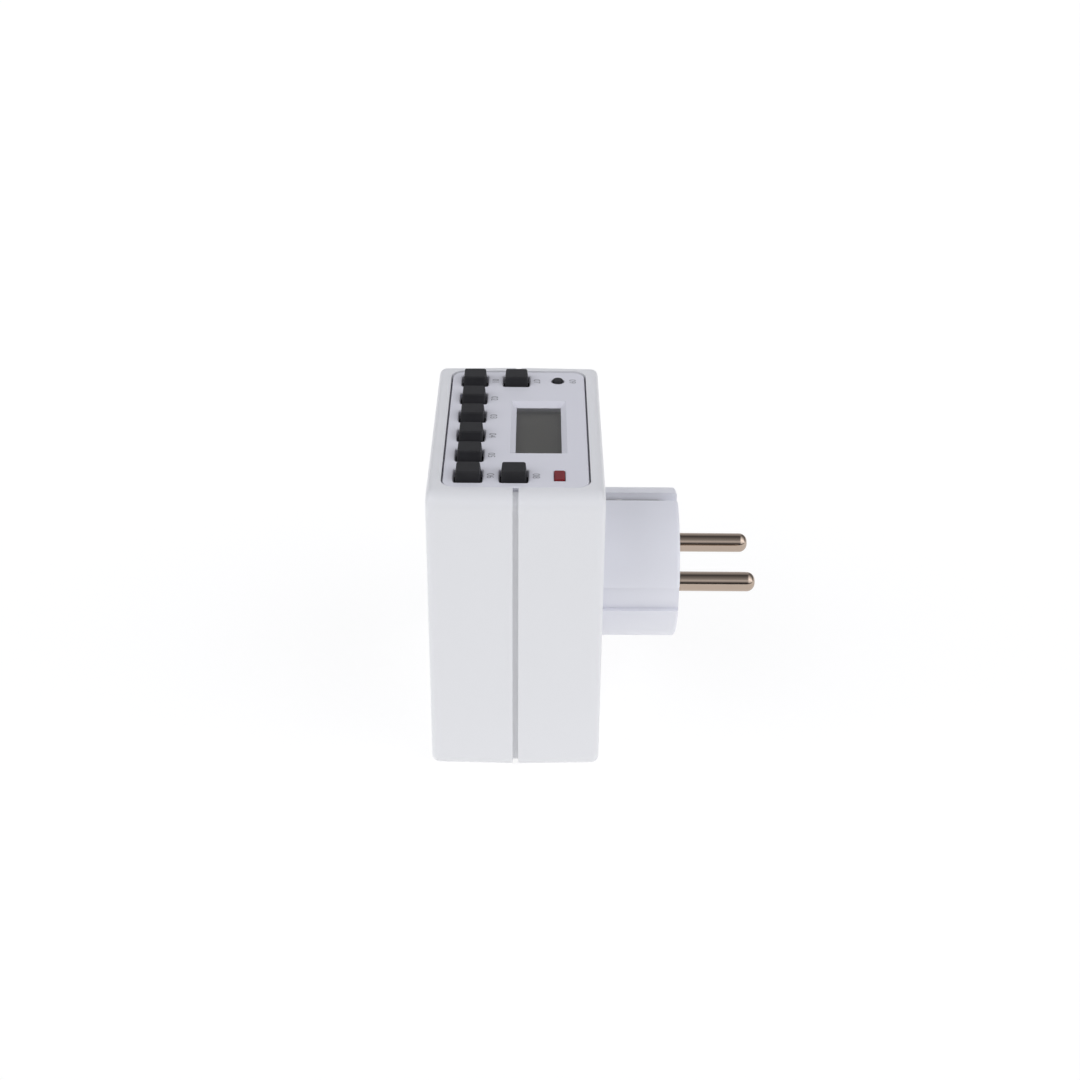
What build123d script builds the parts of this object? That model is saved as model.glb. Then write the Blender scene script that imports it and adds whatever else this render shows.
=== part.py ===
from build123d import *
import math
import os

# Digital plug-in timer, in millimetres. X runs from the socket side to the plug pins, Y across the
# housing, Z up. The origin is under the middle of the whole object, on the surface it stands on.

# Housing
housing_depth = 40.2        # front face to rear face, along X
housing_width = 72.2        # at the parting line, along Y
housing_height = 74.4
wall = 2.2
side_draft = 0.6            # each side face leans in this much between the parting line and its end
top_edge_radius = 4.0
bottom_edge_radius = 3.0
end_edge_radius = 1.8
reveal_width = 1.3          # open groove at the parting line
reveal_depth = 1.1
inner_edge_radius = 1.0     # cavity's long edges
tongue_overlap = 3.0        # how far the front shell's tongue reaches into the rear shell
tongue_clearance = 0.1
tongue_root = 2.0           # length of the tongue inside the front shell's mouth
board_rest_width = 2.0
board_rest_inset = 3.0      # from the power board's end
board_rest_gap = 4.0        # between the front shell's rests and the parting line

# Plug
plug_radius = 18.4
plug_length = 19.0
plug_axis_drop = 0.2        # below the middle of the housing's height
plug_face_wall = 3.0
plug_hollow_radius = 13.2
plug_flange_overlap = 2.0
plug_flange_thickness = 1.2
plug_edge_radius = 0.8
plug_hole_clearance = 0.1   # round the plug and round the socket insert in their walls
pin_radius = 2.4
pin_spacing = 19.0
pin_length = 19.0
pin_tip_radius = 2.0
pin_seat_radius = 2.7       # shank inside the plug's face wall
pin_seat_clearance = 0.02
pin_collar_radius = 3.5
pin_collar_length = 1.5
pin_tail_radius = 1.5
pin_tail_length = 3.0
guide_groove_width = 6.4
guide_groove_depth = 1.5
earth_recess_width = 4.0
earth_recess_height = 16.6  # plug axis to the outer face of the earth strip
earth_nose_length = 3.0     # plastic nose in front of the earth strip
earth_nose_drop = 0.4       # nose's top below the strip's outer face
earth_tip_run = 1.8         # strip's tip, which dips behind the nose
earth_tip_dip = 0.7
earth_strip_slot = 0.2      # play round the strip in the plug's wall

# Socket
well_radius = 19.7
well_depth = 17.5
well_wall = 1.9
well_floor = 3.0
well_flange_overlap = 1.6
well_flange_thickness = 1.4
pin_hole_radius = 2.7
guide_rib_width = 4.6
guide_rib_height = 1.2
guide_rib_inset = 2.0       # behind the front face
socket_rim_chamfer = 0.6
earth_arm_gap = 0.9         # between the well's wall and the earth arm
earth_arm_start = 3.0       # arm's tip behind the front face
earth_arm_touch = 8.0
earth_arm_root = 14.0
earth_arm_bow = 2.4
earth_slot_end_clearance = 0.5
earth_slot_side_clearance = 0.3

# Shutter
shutter_thickness = 1.4
shutter_gap = 0.3
shutter_reach = 12.8
shutter_hub_radius = 4.6
shutter_half_angle = 18.0
shutter_turn = 38.0         # degrees that the pins turn it, which clears the holes
shutter_ramp = 0.9          # depth of the ramp that a pin's tip slides down
shutter_land = 1.5          # width left flat beside the ramp
shutter_wing_root = 4.0     # radius where a wing starts inside the hub
shutter_stop_radius = 0.9
shutter_stop_reach = 9.0    # plug axis to a stop
shutter_stop_gap = 0.3      # to a wing's edge at either end of its turn
pivot_radius = 2.5
pivot_clearance = 0.05
pivot_stand = 2.0           # beyond the shutter
pivot_screw_hole_radius = 0.8
pivot_screw_radius = 0.75
pivot_screw_length = 3.0
shutter_spring_wire = 0.6
shutter_spring_gap = 0.3
shutter_screw_head = 1.0
shutter_screw_overhang = 0.8

# Earth strips and conductors
strip_thickness = 0.8
strip_bend = 1.0            # middle of the sheet
earth_strip_width = 3.4
strip_gap = 0.1             # between the two earth strips where they are riveted
earth_bar_gap = 0.8         # in front of the rear wall
bar_width = 4.0
bar_gap = 2.2               # round the live bars
rivet_radius = 1.0
rivet_head_radius = 2.0
rivet_head_height = 0.8

# Contacts and their carrier
contact_bore_radius = 2.35
contact_wall = 0.75
contact_slit = 0.9
contact_floor = 0.8
contact_slit_end = 1.5
contact_inset = 1.6         # behind the carrier's front face
pin_end_gap = 0.1
carrier_half_width = 15.6
carrier_half_height = 8.0
carrier_ear_reach = 16.8
carrier_ear_radius = 2.6
carrier_ear_thickness = 2.0
carrier_clearance = 0.15
carrier_gap = 0.8           # behind the shutter
carrier_back_gap = 2.4      # in front of the plug's flange
carrier_edge_radius = 1.5
carrier_screw_radius = 0.85
carrier_screw_head_radius = 2.0
carrier_screw_head_height = 1.2
carrier_screw_length = 5.0
carrier_room = 0.6          # round the shutter's screw head
bar_slot_clearance = 0.2
bar_slot_gap = 0.1

# Control panel
panel_length = 61.6         # along Y
panel_end_margin = 3.6      # along X, from each end face of the housing
panel_corner_radius = 3.0
panel_gap = 0.4
panel_sink = 0.2            # below the housing's top
panel_flange_overlap_x = 0.8
panel_flange_overlap_y = 0.25
panel_flange_thickness = 1.2
panel_rim_x = 1.0           # solid rim under the plate, along its ends and its sides
panel_rim_y = 0.7
panel_ledge_height = 1.4
panel_ledge_reach = 1.6
panel_seat_clearance = 0.1
panel_edge_radius = 0.3
panel_inner_corner = 2.0
panel_post_radius = 1.7
post_hole_end = 1.5         # solid top of each post's screw hole
front_post_gap = 0.6        # between the front posts and the first column's flanges
front_post_inset = 7.6      # from the middle of the end keys, along Y
rear_post_inset_x = 2.3     # from the panel's rear end
rear_post_inset_y = 5.3

# Keys
first_column_inset = 5.65   # from the panel's front end
last_column_inset = 6.65    # from the panel's rear end
middle_column_shift = -0.5  # from the parting line
key_pitch = 10.15
key_count = 6
key_top_width = 5.3
key_base_width = 5.8
key_rise = 2.3              # above the panel
key_hole_width = 6.5
key_hole_bevel = 0.25       # round each hole's upper edge
key_hole_corner = 0.6
key_corner_radius = 0.5
key_foot = 0.2              # start of the taper below the panel's top
key_flange_width = 8.2
key_flange_corner = 1.0
key_flange_thickness = 0.8
key_rest_gap = 0.2
key_travel = 1.0
key_boss_radius = 2.5
key_edge_radius = 0.4
key_stop_gap = 0.1          # left between boss and board at full travel
collar_clearance = 0.3
collar_wall = 1.0
mat_thickness = 1.0
mat_width = 9.6
mat_corner = 1.5
mat_post_clearance = 0.3
reset_radius = 1.3
reset_hole_radius = 1.65
reset_rise = 0.6
reset_travel = 0.6
reset_edge_radius = 0.4
reset_flange_radius = 3.2

# Display
lcd_length = 25.6
lcd_width = 10.8
lcd_offset_x = 5.1
lcd_offset_y = -0.1
lcd_recess_depth = 1.3
lcd_recess_slope = 1.25
lcd_recess_floor = 1.0
lcd_window_thickness = 1.0
lcd_window_lip = 0.9
lcd_pane_gap = 0.1          # between the window's raised pane and the opening
lcd_pane_corner = 0.2
lcd_pad = 1.0               # solid border round the pocket, under the plate
lcd_cell_thickness = 2.6
lcd_cell_margin = 1.9
lcd_frame_wall = 1.0
lcd_strip_width = 1.8
lcd_strip_height = 2.0
lcd_strip_inset = 0.2       # from the cell's side
lcd_strip_end = 1.0         # from the cell's end
lcd_strip_play = 0.05
lcd_step = 1.0              # lower glass beyond the upper, on the contact sides
lcd_cell_play = 0.05
lcd_frame_rib = 1.0         # between a strip's slot and the frame's middle opening

# Lamp
lamp_width = 2.4            # along X
lamp_length = 4.6           # along Y
lamp_rise = 0.3
lamp_height = 6.6
lamp_hole_gap = 0.15
lamp_lead_radius = 0.25
lamp_lead_spacing = 2.54
lamp_lead_hole_gap = 0.1
lamp_lead_end = 1.0         # below the board
lamp_edge_radius = 0.15
lamp_foot_width = 0.35
lamp_foot_height = 0.8

# Boards
board_thickness = 1.6
board_side_gap = 1.0
control_board_length = 60.4
board_corner = 1.0
board_hole_gap = 0.15
power_board_lift = 1.8
board_screw_radius = 0.9
board_screw_head_radius = 1.8
board_screw_head_height = 1.0
board_screw_length = 5.0
board_screw_play = 0.05

# Housing screws
screw_side_inset = 6.5      # from the side face to the screw's axis
screw_bottom_inset = 9.0
screw_top_inset = 17.9
screw_radius = 1.45
screw_pilot_radius = 1.5
screw_head_radius = 2.8
screw_head_height = 2.0
screw_sink = 9.0            # head recess depth from the rear face
screw_well_radius = 3.2
screw_boss_radius = 4.6
screw_boss_nose_radius = 4.0
screw_post_radius = 3.2
screw_post_floor = 2.0      # solid root of each post's hole
screw_end_gap = 2.0         # between the screw's tip and the hole's end
screw_hole_clearance = 0.25
screw_recess_depth = 0.9
screw_recess_width = 0.8
screw_recess_length = 4.0
post_gap = 0.1              # between a post and the boss that meets it
boss_shoulder_gap = 0.5     # behind the tongue

# Backup cell
cell_radius = 6.5
cell_height = 4.8
cell_tab_thickness = 0.3
cell_tab_width = 4.0
cell_tab_length = 8.0
cell_leg_gap = 0.4
cell_edge_radius = 0.8
cell_shift_x = 6.0          # from the parting line
cell_shift_y = 16.0

# Parts on the boards
part_gap = 0.8              # between neighbours, and under what stands over them
chip_radius = 5.0
chip_height = 1.6
chip_edge_radius = 1.2
chip_shift_x = 2.0
chip_shift_y = -2.0
crystal_radius = 1.5
crystal_length = 6.0
crystal_shift_x = -9.0
crystal_shift_y = -6.0
ribbon_wires = 5
ribbon_width = 10.0
ribbon_thickness = 0.9
ribbon_web = 0.5
ribbon_inset = 0.6          # behind the socket insert
ribbon_y = -20.2
ribbon_plug_height = 5.0
ribbon_plug_thickness = 2.4
ribbon_plug_wall = 0.8
relay_width = 12.8
relay_length = 28.0
relay_inset = 2.0           # from the board's rear edge
relay_edge_radius = 0.5
case_corner = 0.6
film_length = 18.0
film_width = 8.0
film_edge_radius = 0.7
smoothing_radius = 5.0
smoothing_edge_radius = 0.6
part_end_inset = 2.5        # from the power board's ends
varistor_thickness = 4.0
varistor_edge_radius = 0.8
fuse_radius = 2.6
fuse_length = 15.0
fuse_cap_length = 4.0
fuse_cap_wall = 0.3
rectifier_thickness = 2.6
rectifier_width = 5.6
rectifier_height = 6.0

# Making
weld = 0.1                  # solids that become one reach this far into each other
over = 0.5                  # cuts reach this far past the faces they open

# Places worked out from the sizes above
overall_depth = housing_depth + plug_length + pin_length
front_x = -overall_depth / 2
rear_x = front_x + housing_depth
split_x = front_x + housing_depth / 2
plug_face_x = rear_x + plug_length
tip_x = plug_face_x + pin_length
half_width = housing_width / 2
plug_axis_z = housing_height / 2 - plug_axis_drop
inner_top_z = housing_height - wall
panel_top_z = housing_height - panel_sink
pin_y = pin_spacing / 2

well_floor_x = front_x + well_depth
insert_back_x = well_floor_x + well_floor
insert_radius = well_radius + well_wall
shutter_front_x = insert_back_x + shutter_gap
shutter_back_x = shutter_front_x + shutter_thickness
pivot_end_x = shutter_back_x + pivot_stand
carrier_front_x = shutter_back_x + carrier_gap
contact_front_x = carrier_front_x + contact_inset
contact_back_x = well_floor_x + pin_length + pin_end_gap + contact_floor
contact_radius = contact_bore_radius + contact_wall
plug_flange_x = rear_x - wall - plug_flange_thickness
carrier_back_x = plug_flange_x - carrier_back_gap
earth_bar_x = rear_x - wall - earth_bar_gap
earth_arm_inner = well_radius - strip_thickness - earth_arm_gap
earth_slot_width = earth_strip_width + 2 * earth_slot_side_clearance
pin_tail_x = plug_face_x - plug_face_wall - pin_collar_length - pin_tail_length
input_bar_x = rear_x - wall - bar_gap
input_step_x = max(contact_back_x + bar_gap, input_bar_x + 3 * strip_bend)
output_bar_x = carrier_back_x - bar_width / 2

lcd_x = split_x + lcd_offset_x
lcd_floor_z = panel_top_z - lcd_recess_depth
lcd_window_top_z = lcd_floor_z - lcd_recess_floor
lcd_cell_top_z = lcd_window_top_z - lcd_window_thickness
lcd_strip_top_z = lcd_cell_top_z - lcd_cell_thickness
lcd_cell_width = lcd_width + 2 * lcd_cell_margin
lcd_cell_length = lcd_length + 2 * lcd_cell_margin
control_board_top_z = lcd_strip_top_z - lcd_strip_height
control_board_z = control_board_top_z - board_thickness
power_board_z = wall + power_board_lift
power_board_top_z = power_board_z + board_thickness

key_flange_top_z = inner_top_z - key_rest_gap
key_flange_z = key_flange_top_z - key_flange_thickness
key_boss_z = control_board_top_z + key_travel + key_stop_gap
reset_boss_z = control_board_top_z + reset_travel + key_stop_gap
collar_top_z = key_flange_z - key_travel - collar_clearance
key_row = [(i - (key_count - 1) / 2) * key_pitch for i in range(key_count)]
near_y = key_row[0]
far_y = key_row[-1]
panel_width = housing_depth - 2 * panel_end_margin
key_column_x = [
    split_x - panel_width / 2 + first_column_inset,
    split_x + middle_column_shift,
    split_x + panel_width / 2 - last_column_inset,
]
reset_place = (key_column_x[2], far_y)
lamp_place = (key_column_x[2], near_y)
lamp_top_z = panel_top_z + lamp_rise
lamp_z = lamp_top_z - lamp_height

front_post_x = key_column_x[0] + key_flange_width / 2 + front_post_gap + panel_post_radius
front_post_y = far_y - front_post_inset
rear_post_x = split_x + panel_width / 2 - rear_post_inset_x
rear_post_y = far_y - rear_post_inset_y
post_places = [
    (front_post_x, -front_post_y), (front_post_x, front_post_y),
    (rear_post_x, -rear_post_y), (rear_post_x, rear_post_y),
]
screw_y = half_width - screw_side_inset
screw_places = [
    (y, z) for y in (-screw_y, screw_y)
    for z in (screw_bottom_inset, housing_height - screw_top_inset)
]

board_half_x = housing_depth / 2 - wall - board_side_gap
board_front_x = split_x - board_half_x
board_rear_x = split_x + board_half_x
power_board_half = screw_y - screw_boss_radius
chip_place = (split_x + chip_shift_x, chip_shift_y)
crystal_place = (split_x + crystal_shift_x, crystal_shift_y)
cell_place = (split_x + cell_shift_x, cell_shift_y)
ribbon_x = insert_back_x + ribbon_inset + ribbon_width / 2
relay_x = board_rear_x - relay_inset - relay_width / 2
fuse_x = relay_x - relay_width / 2 - part_gap - fuse_radius
film_place = (board_front_x + part_gap + film_length / 2, power_board_half - part_end_inset - film_width / 2)
smoothing_y = part_end_inset + smoothing_radius - power_board_half
smoothing_place = (board_front_x + part_gap + smoothing_radius, smoothing_y)
varistor_x = board_front_x + part_gap + varistor_thickness / 2


def block(x0, x1, y0, y1, z0, z1):
    """A box between two corners."""
    size = Box(x1 - x0, y1 - y0, z1 - z0)
    return Pos((x0 + x1) / 2, (y0 + y1) / 2, (z0 + z1) / 2) * size


def rod_x(radius, x0, x1, y=0.0, z=plug_axis_z):
    """A round bar along X, by default on the plug's axis."""
    return Pos((x0 + x1) / 2, y, z) * Rot(0, 90, 0) * Cylinder(radius, x1 - x0)


def rod_z(radius, z0, z1, x, y):
    """A round bar along Z."""
    return Pos(x, y, (z0 + z1) / 2) * Cylinder(radius, z1 - z0)


def slab(width_x, width_y, radius, z0, z1, x=split_x, y=0.0):
    """A flat plate with rounded corners."""
    outline = Pos(x, y, z0) * RectangleRounded(width_x, width_y, radius)
    return extrude(outline, z1 - z0)


def group(pieces):
    """Several separate solids in one node."""
    return Compound(children=list(pieces))


def keep(name, shape):
    """Write one node."""
    export_step(shape, f"parts/{name}.step")


def housing_half(end_x, mouth_x, inset):
    """One half's form between its end and its mouth, with sides that lean in towards the end."""
    lean = side_draft * abs(end_x - split_x) / (housing_depth / 2)
    end_y = half_width - lean - inset
    mouth_y = half_width - inset
    return housing_form([(end_x, -end_y), (mouth_x, -mouth_y), (mouth_x, mouth_y), (end_x, end_y)], inset)


def straight_block(inset, x0, x1):
    """The housing's outline at the parting line, made smaller by inset and run straight along X."""
    y = half_width - inset
    return housing_form([(x0, -y), (x1, -y), (x1, y), (x0, y)], inset)


def housing_form(plan, inset):
    """A plan raised over the housing's height, both less the inset, with its long edges rounded."""
    outline = Pos(0, 0, inset) * Polygon(*plan, align=None)
    body = extrude(outline, housing_height - 2 * inset, dir=(0, 0, 1))
    long_edges = [e for e in body.edges() if abs(e.tangent_at(0.5).X) > 0.5]
    long_edges = ShapeList(long_edges).sort_by(Axis.Z)
    body = fillet(long_edges[:2], max(bottom_edge_radius - inset, inner_edge_radius))
    high_edges = [e for e in body.edges() if abs(e.tangent_at(0.5).X) > 0.5]
    high_edges = ShapeList(high_edges).sort_by(Axis.Z)[-2:]
    return fillet(high_edges, max(top_edge_radius - inset, inner_edge_radius))


def rounded_end(body, end_x):
    """Round the edges of a half's end face."""
    end_face = body.faces().filter_by(Axis.X).sort_by(lambda f: abs(f.center().X - end_x))[0]
    return fillet(end_face.edges(), end_edge_radius)


def panel_opening():
    """The cut in the housing's top that the control panel fills."""
    width_x = panel_width + 2 * panel_gap
    width_y = panel_length + 2 * panel_gap
    radius = panel_corner_radius + panel_gap
    low_z = inner_top_z - panel_flange_thickness - over
    return slab(width_x, width_y, radius, low_z, housing_height + over)


def panel_ledges(end_x, inward):
    """Rib under the control panel's flange, on a half's end wall."""
    x0 = end_x + inward * (wall - weld)
    x1 = end_x + inward * (wall + panel_ledge_reach)
    top = inner_top_z - panel_flange_thickness - panel_seat_clearance
    half = panel_length / 2 - panel_corner_radius
    return block(min(x0, x1), max(x0, x1), -half, half, top - panel_ledge_height, top)


def board_rests(x0, x1):
    """Ribs on the bottom wall that carry the power board."""
    ribs = []
    for side in (-1, 1):
        y = side * (power_board_half - board_rest_inset)
        half = board_rest_width / 2
        ribs.append(block(x0, x1, y - half, y + half, wall - weld, power_board_z))
    return ribs


def make_front_shell():
    """Front half: five walls, a tongue round its mouth, four screw posts and the socket's hole."""
    mouth_x = split_x - reveal_width / 2
    tongue_x = split_x + reveal_width / 2 + tongue_overlap
    shell = rounded_end(housing_half(front_x, mouth_x, 0.0), front_x)
    shell += straight_block(reveal_depth, mouth_x - tongue_root, tongue_x)
    shell -= housing_half(front_x + wall, tongue_x + over, wall)
    for y, z in screw_places:
        shell += rod_x(screw_post_radius, front_x + wall - weld, mouth_x, y, z)
        shell -= rod_x(screw_pilot_radius, front_x + wall + screw_post_floor, mouth_x + over, y, z)
    shell += panel_ledges(front_x, 1)
    for rib in board_rests(front_x + wall - weld, split_x - board_rest_gap):
        shell += rib
    shell -= panel_opening()
    shell -= rod_x(insert_radius + plug_hole_clearance, front_x - over, front_x + wall + over)
    return shell


def make_rear_shell():
    """Rear half: five walls, a rebate for the tongue, four screw bosses and the plug's hole."""
    mouth_x = split_x + reveal_width / 2
    rebate_x = mouth_x + tongue_overlap + tongue_clearance
    shoulder_x = rebate_x + boss_shoulder_gap
    boss_x = split_x - reveal_width / 2 + post_gap
    shell = rounded_end(housing_half(rear_x, mouth_x, 0.0), rear_x)
    shell -= housing_half(rear_x - wall, mouth_x - over, wall)
    shell -= straight_block(reveal_depth - tongue_clearance, mouth_x - over, rebate_x)
    for y, z in screw_places:
        shell += rod_x(screw_boss_radius, shoulder_x, rear_x - wall + weld, y, z)
        shell += rod_x(screw_boss_nose_radius, boss_x, shoulder_x + weld, y, z)
        shell -= rod_x(screw_well_radius, rear_x - screw_sink, rear_x + over, y, z)
        shell -= rod_x(screw_radius + screw_hole_clearance, boss_x - over, rear_x, y, z)
    shell += panel_ledges(rear_x, -1)
    for rib in board_rests(shoulder_x, rear_x - wall + weld):
        shell += rib
    shell -= panel_opening()
    shell -= rod_x(plug_radius + plug_hole_clearance, rear_x - wall - over, rear_x + over)
    return shell


def make_housing_screws():
    """Four cross-head screws, sunk in wells in the rear face."""
    seat_x = rear_x - screw_sink
    recess_x = seat_x + screw_head_height - screw_recess_depth
    tip_end_x = front_x + wall + screw_post_floor + screw_end_gap
    long = screw_recess_length / 2
    short = screw_recess_width / 2
    screws = []
    for y, z in screw_places:
        head = rod_x(screw_head_radius, seat_x, seat_x + screw_head_height, y, z)
        head -= block(recess_x, rear_x, y - long, y + long, z - short, z + short)
        head -= block(recess_x, rear_x, y - short, y + short, z - long, z + long)
        screws.append(head + rod_x(screw_radius, tip_end_x, seat_x, y, z))
    return group(screws)


def key_places():
    """Name and centre of every square key."""
    names = ["minute_button", "hour_button", "week_button"]
    names += ["countdown_button", "timer_button", "clock_button"]
    places = [(name, key_column_x[0], y) for name, y in zip(names, key_row)]
    places.append(("manual_button", key_column_x[1], near_y))
    places.append(("random_button", key_column_x[1], far_y))
    return places


def display_recess():
    """The sloped pocket round the display and the window through its floor."""
    top = Pos(lcd_x, lcd_offset_y, panel_top_z)
    low = Pos(lcd_x, lcd_offset_y, lcd_floor_z)
    mouth = top * Rectangle(lcd_width + 2 * lcd_recess_slope, lcd_length + 2 * lcd_recess_slope)
    floor = low * Rectangle(lcd_width, lcd_length)
    through = extrude(floor, lcd_window_top_z - over - lcd_floor_z)
    return loft([floor, mouth]) + through


def make_control_panel():
    """Inset plate with a flange under the housing's rim, a display pocket, key holes and posts."""
    flange_z = inner_top_z - panel_flange_thickness
    flange_x = panel_width + 2 * panel_gap + 2 * panel_flange_overlap_x
    flange_y = panel_length + 2 * panel_gap + 2 * panel_flange_overlap_y
    rim_x = panel_width - 2 * panel_rim_x
    rim_y = panel_length - 2 * panel_rim_y
    panel = slab(panel_width, panel_length, panel_corner_radius, inner_top_z, panel_top_z)
    panel += slab(flange_x, flange_y, panel_inner_corner, flange_z, inner_top_z)
    panel -= slab(rim_x, rim_y, panel_inner_corner, flange_z - over, inner_top_z)
    top_edges = panel.faces().sort_by(Axis.Z)[-1].outer_wire().edges()
    panel = fillet(top_edges, panel_edge_radius)
    pad_x = lcd_width + 2 * lcd_recess_slope + 2 * lcd_pad
    pad_y = lcd_length + 2 * lcd_recess_slope + 2 * lcd_pad
    panel += slab(pad_x, pad_y, board_corner, lcd_window_top_z, inner_top_z, lcd_x, lcd_offset_y)
    panel -= display_recess()
    hole_z = inner_top_z - over
    top_z = panel_top_z + over
    for name, x, y in key_places():
        panel -= slab(key_hole_width, key_hole_width, key_hole_corner, hole_z, top_z, x, y)
        mouth = Pos(x, y, panel_top_z - key_hole_bevel)
        mouth = mouth * RectangleRounded(key_hole_width, key_hole_width, key_hole_corner)
        panel -= extrude(mouth, key_hole_bevel + over, taper=-45)
    panel -= rod_z(reset_hole_radius, hole_z, top_z, *reset_place)
    lamp_x = lamp_width + 2 * lamp_hole_gap
    lamp_y = lamp_length + 2 * lamp_hole_gap
    panel -= slab(lamp_x, lamp_y, lamp_edge_radius, hole_z, top_z, *lamp_place)
    screw_hole = board_screw_radius + board_screw_play
    for x, y in post_places:
        panel += rod_z(panel_post_radius, control_board_top_z, inner_top_z, x, y)
        panel -= rod_z(screw_hole, control_board_top_z - over, inner_top_z - post_hole_end, x, y)
    return panel


def make_key(x, y):
    """Square key: tapered block above the panel, retaining flange and boss below it."""
    foot_z = panel_top_z - key_foot
    foot = Pos(x, y, foot_z) * RectangleRounded(key_base_width, key_base_width, key_corner_radius)
    top = Pos(x, y, panel_top_z + key_rise)
    top = top * RectangleRounded(key_top_width, key_top_width, key_corner_radius)
    cap = loft([foot, top])
    cap = fillet(cap.faces().sort_by(Axis.Z)[-1].edges(), key_edge_radius)
    cap += slab(key_base_width, key_base_width, key_corner_radius, key_flange_top_z, foot_z, x, y)
    flange = (key_flange_width, key_flange_width, key_flange_corner)
    cap += slab(*flange, key_flange_z, key_flange_top_z, x, y)
    return cap + rod_z(key_boss_radius, key_boss_z, key_flange_z, x, y)


def make_reset_button():
    """Small round button with the same kind of flange and boss as a key."""
    x, y = reset_place
    button = rod_z(reset_radius, key_flange_top_z, panel_top_z + reset_rise, x, y)
    button = fillet(button.faces().sort_by(Axis.Z)[-1].edges(), reset_edge_radius)
    button += rod_z(reset_flange_radius, key_flange_z, key_flange_top_z, x, y)
    return button + rod_z(key_boss_radius, reset_boss_z, key_flange_z, x, y)


def make_keypad_mat():
    """Silicone sheet on the board, with a raised collar round each key's boss."""
    z0 = control_board_top_z
    z1 = z0 + mat_thickness
    first_x = key_column_x[0]
    mat = slab(mat_width, far_y - near_y + mat_width, mat_corner, z0, z1, first_x)
    for y, last_x in ((near_y, key_column_x[1]), (far_y, key_column_x[2])):
        end_x = last_x + mat_width / 2
        mat += slab(end_x - first_x, mat_width, mat_corner, z0, z1, (first_x + end_x) / 2, y)
    places = [(x, y) for name, x, y in key_places()] + [reset_place]
    bore = key_boss_radius + collar_clearance
    for x, y in places:
        mat += rod_z(bore + collar_wall, z0, collar_top_z, x, y)
    for x, y in places:
        mat -= rod_z(bore, z0 - over, collar_top_z + over, x, y)
    for x, y in post_places:
        mat -= rod_z(panel_post_radius + mat_post_clearance, z0 - over, z1 + over, x, y)
    return mat


def make_lcd_window():
    """Clear plate under the display pocket, with a raised pane that fills the opening."""
    width = lcd_width + 2 * lcd_window_lip
    length = lcd_length + 2 * lcd_window_lip
    plate = slab(width, length, key_corner_radius, lcd_cell_top_z, lcd_window_top_z, lcd_x, lcd_offset_y)
    pane_top_z = lcd_floor_z - lcd_pane_gap
    width = lcd_width - 2 * lcd_pane_gap
    length = lcd_length - 2 * lcd_pane_gap
    return plate + slab(width, length, lcd_pane_corner, lcd_window_top_z, pane_top_z, lcd_x, lcd_offset_y)


def make_lcd_cell():
    """Two bonded glass plates, the lower one wider on the contact sides."""
    middle = lcd_cell_top_z - lcd_cell_thickness / 2
    cell = None
    for inset, z0, z1 in ((lcd_step, middle, lcd_cell_top_z), (0.0, lcd_strip_top_z, middle)):
        half_x = lcd_cell_width / 2 - inset
        half_y = lcd_cell_length / 2
        plate = block(lcd_x - half_x, lcd_x + half_x, lcd_offset_y - half_y, lcd_offset_y + half_y, z0, z1)
        cell = plate if cell is None else cell + plate
    return cell


def make_lcd_frame():
    """Frame that holds the cell over the board, with two slots for the rubber strips."""
    z0 = control_board_top_z
    outer_x = lcd_cell_width + 2 * lcd_frame_wall
    outer_y = lcd_cell_length + 2 * lcd_frame_wall
    frame = slab(outer_x, outer_y, case_corner, z0, lcd_cell_top_z, lcd_x, lcd_offset_y)
    half_x = lcd_cell_width / 2 + lcd_cell_play
    half_y = lcd_cell_length / 2 + lcd_cell_play
    frame -= block(
        lcd_x - half_x, lcd_x + half_x, lcd_offset_y - half_y, lcd_offset_y + half_y,
        lcd_strip_top_z, lcd_cell_top_z + over,
    )
    middle_x = lcd_cell_width - 2 * (lcd_strip_inset + lcd_strip_width + lcd_frame_rib)
    middle_y = lcd_cell_length - 2 * lcd_strip_end
    frame -= slab(middle_x, middle_y, case_corner, z0 - over, lcd_strip_top_z + over, lcd_x, lcd_offset_y)
    for strip in lcd_strip_blocks(lcd_strip_play):
        frame -= strip
    return frame


def lcd_strip_blocks(play):
    """The two rubber strips, or with some play the slots that hold them."""
    strips = []
    for side in (-1, 1):
        x = lcd_x + side * (lcd_cell_width / 2 - lcd_strip_inset - lcd_strip_width / 2)
        half_x = lcd_strip_width / 2 + play
        half_y = lcd_cell_length / 2 - lcd_strip_end + play
        strips.append(block(
            x - half_x, x + half_x, lcd_offset_y - half_y, lcd_offset_y + half_y,
            control_board_top_z, lcd_strip_top_z,
        ))
    return strips


def make_led_lamp():
    """Small oblong lamp with a foot under the panel."""
    x, y = lamp_place
    lens = slab(lamp_width, lamp_length, 2 * lamp_edge_radius, lamp_z, lamp_top_z, x, y)
    lens = fillet(lens.faces().sort_by(Axis.Z)[-1].edges(), lamp_edge_radius)
    foot_x = lamp_width + 2 * lamp_foot_width
    foot_y = lamp_length + 2 * lamp_foot_width
    return lens + slab(foot_x, foot_y, 2 * lamp_edge_radius, lamp_z, lamp_z + lamp_foot_height, x, y)


def lamp_lead_places():
    x, y = lamp_place
    return [(x, y + side * lamp_lead_spacing / 2) for side in (-1, 1)]


def make_led_leads():
    """Two round wires from the lamp through the control board."""
    low_z = control_board_z - lamp_lead_end
    return group([rod_z(lamp_lead_radius, low_z, lamp_z, x, y) for x, y in lamp_lead_places()])


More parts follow.
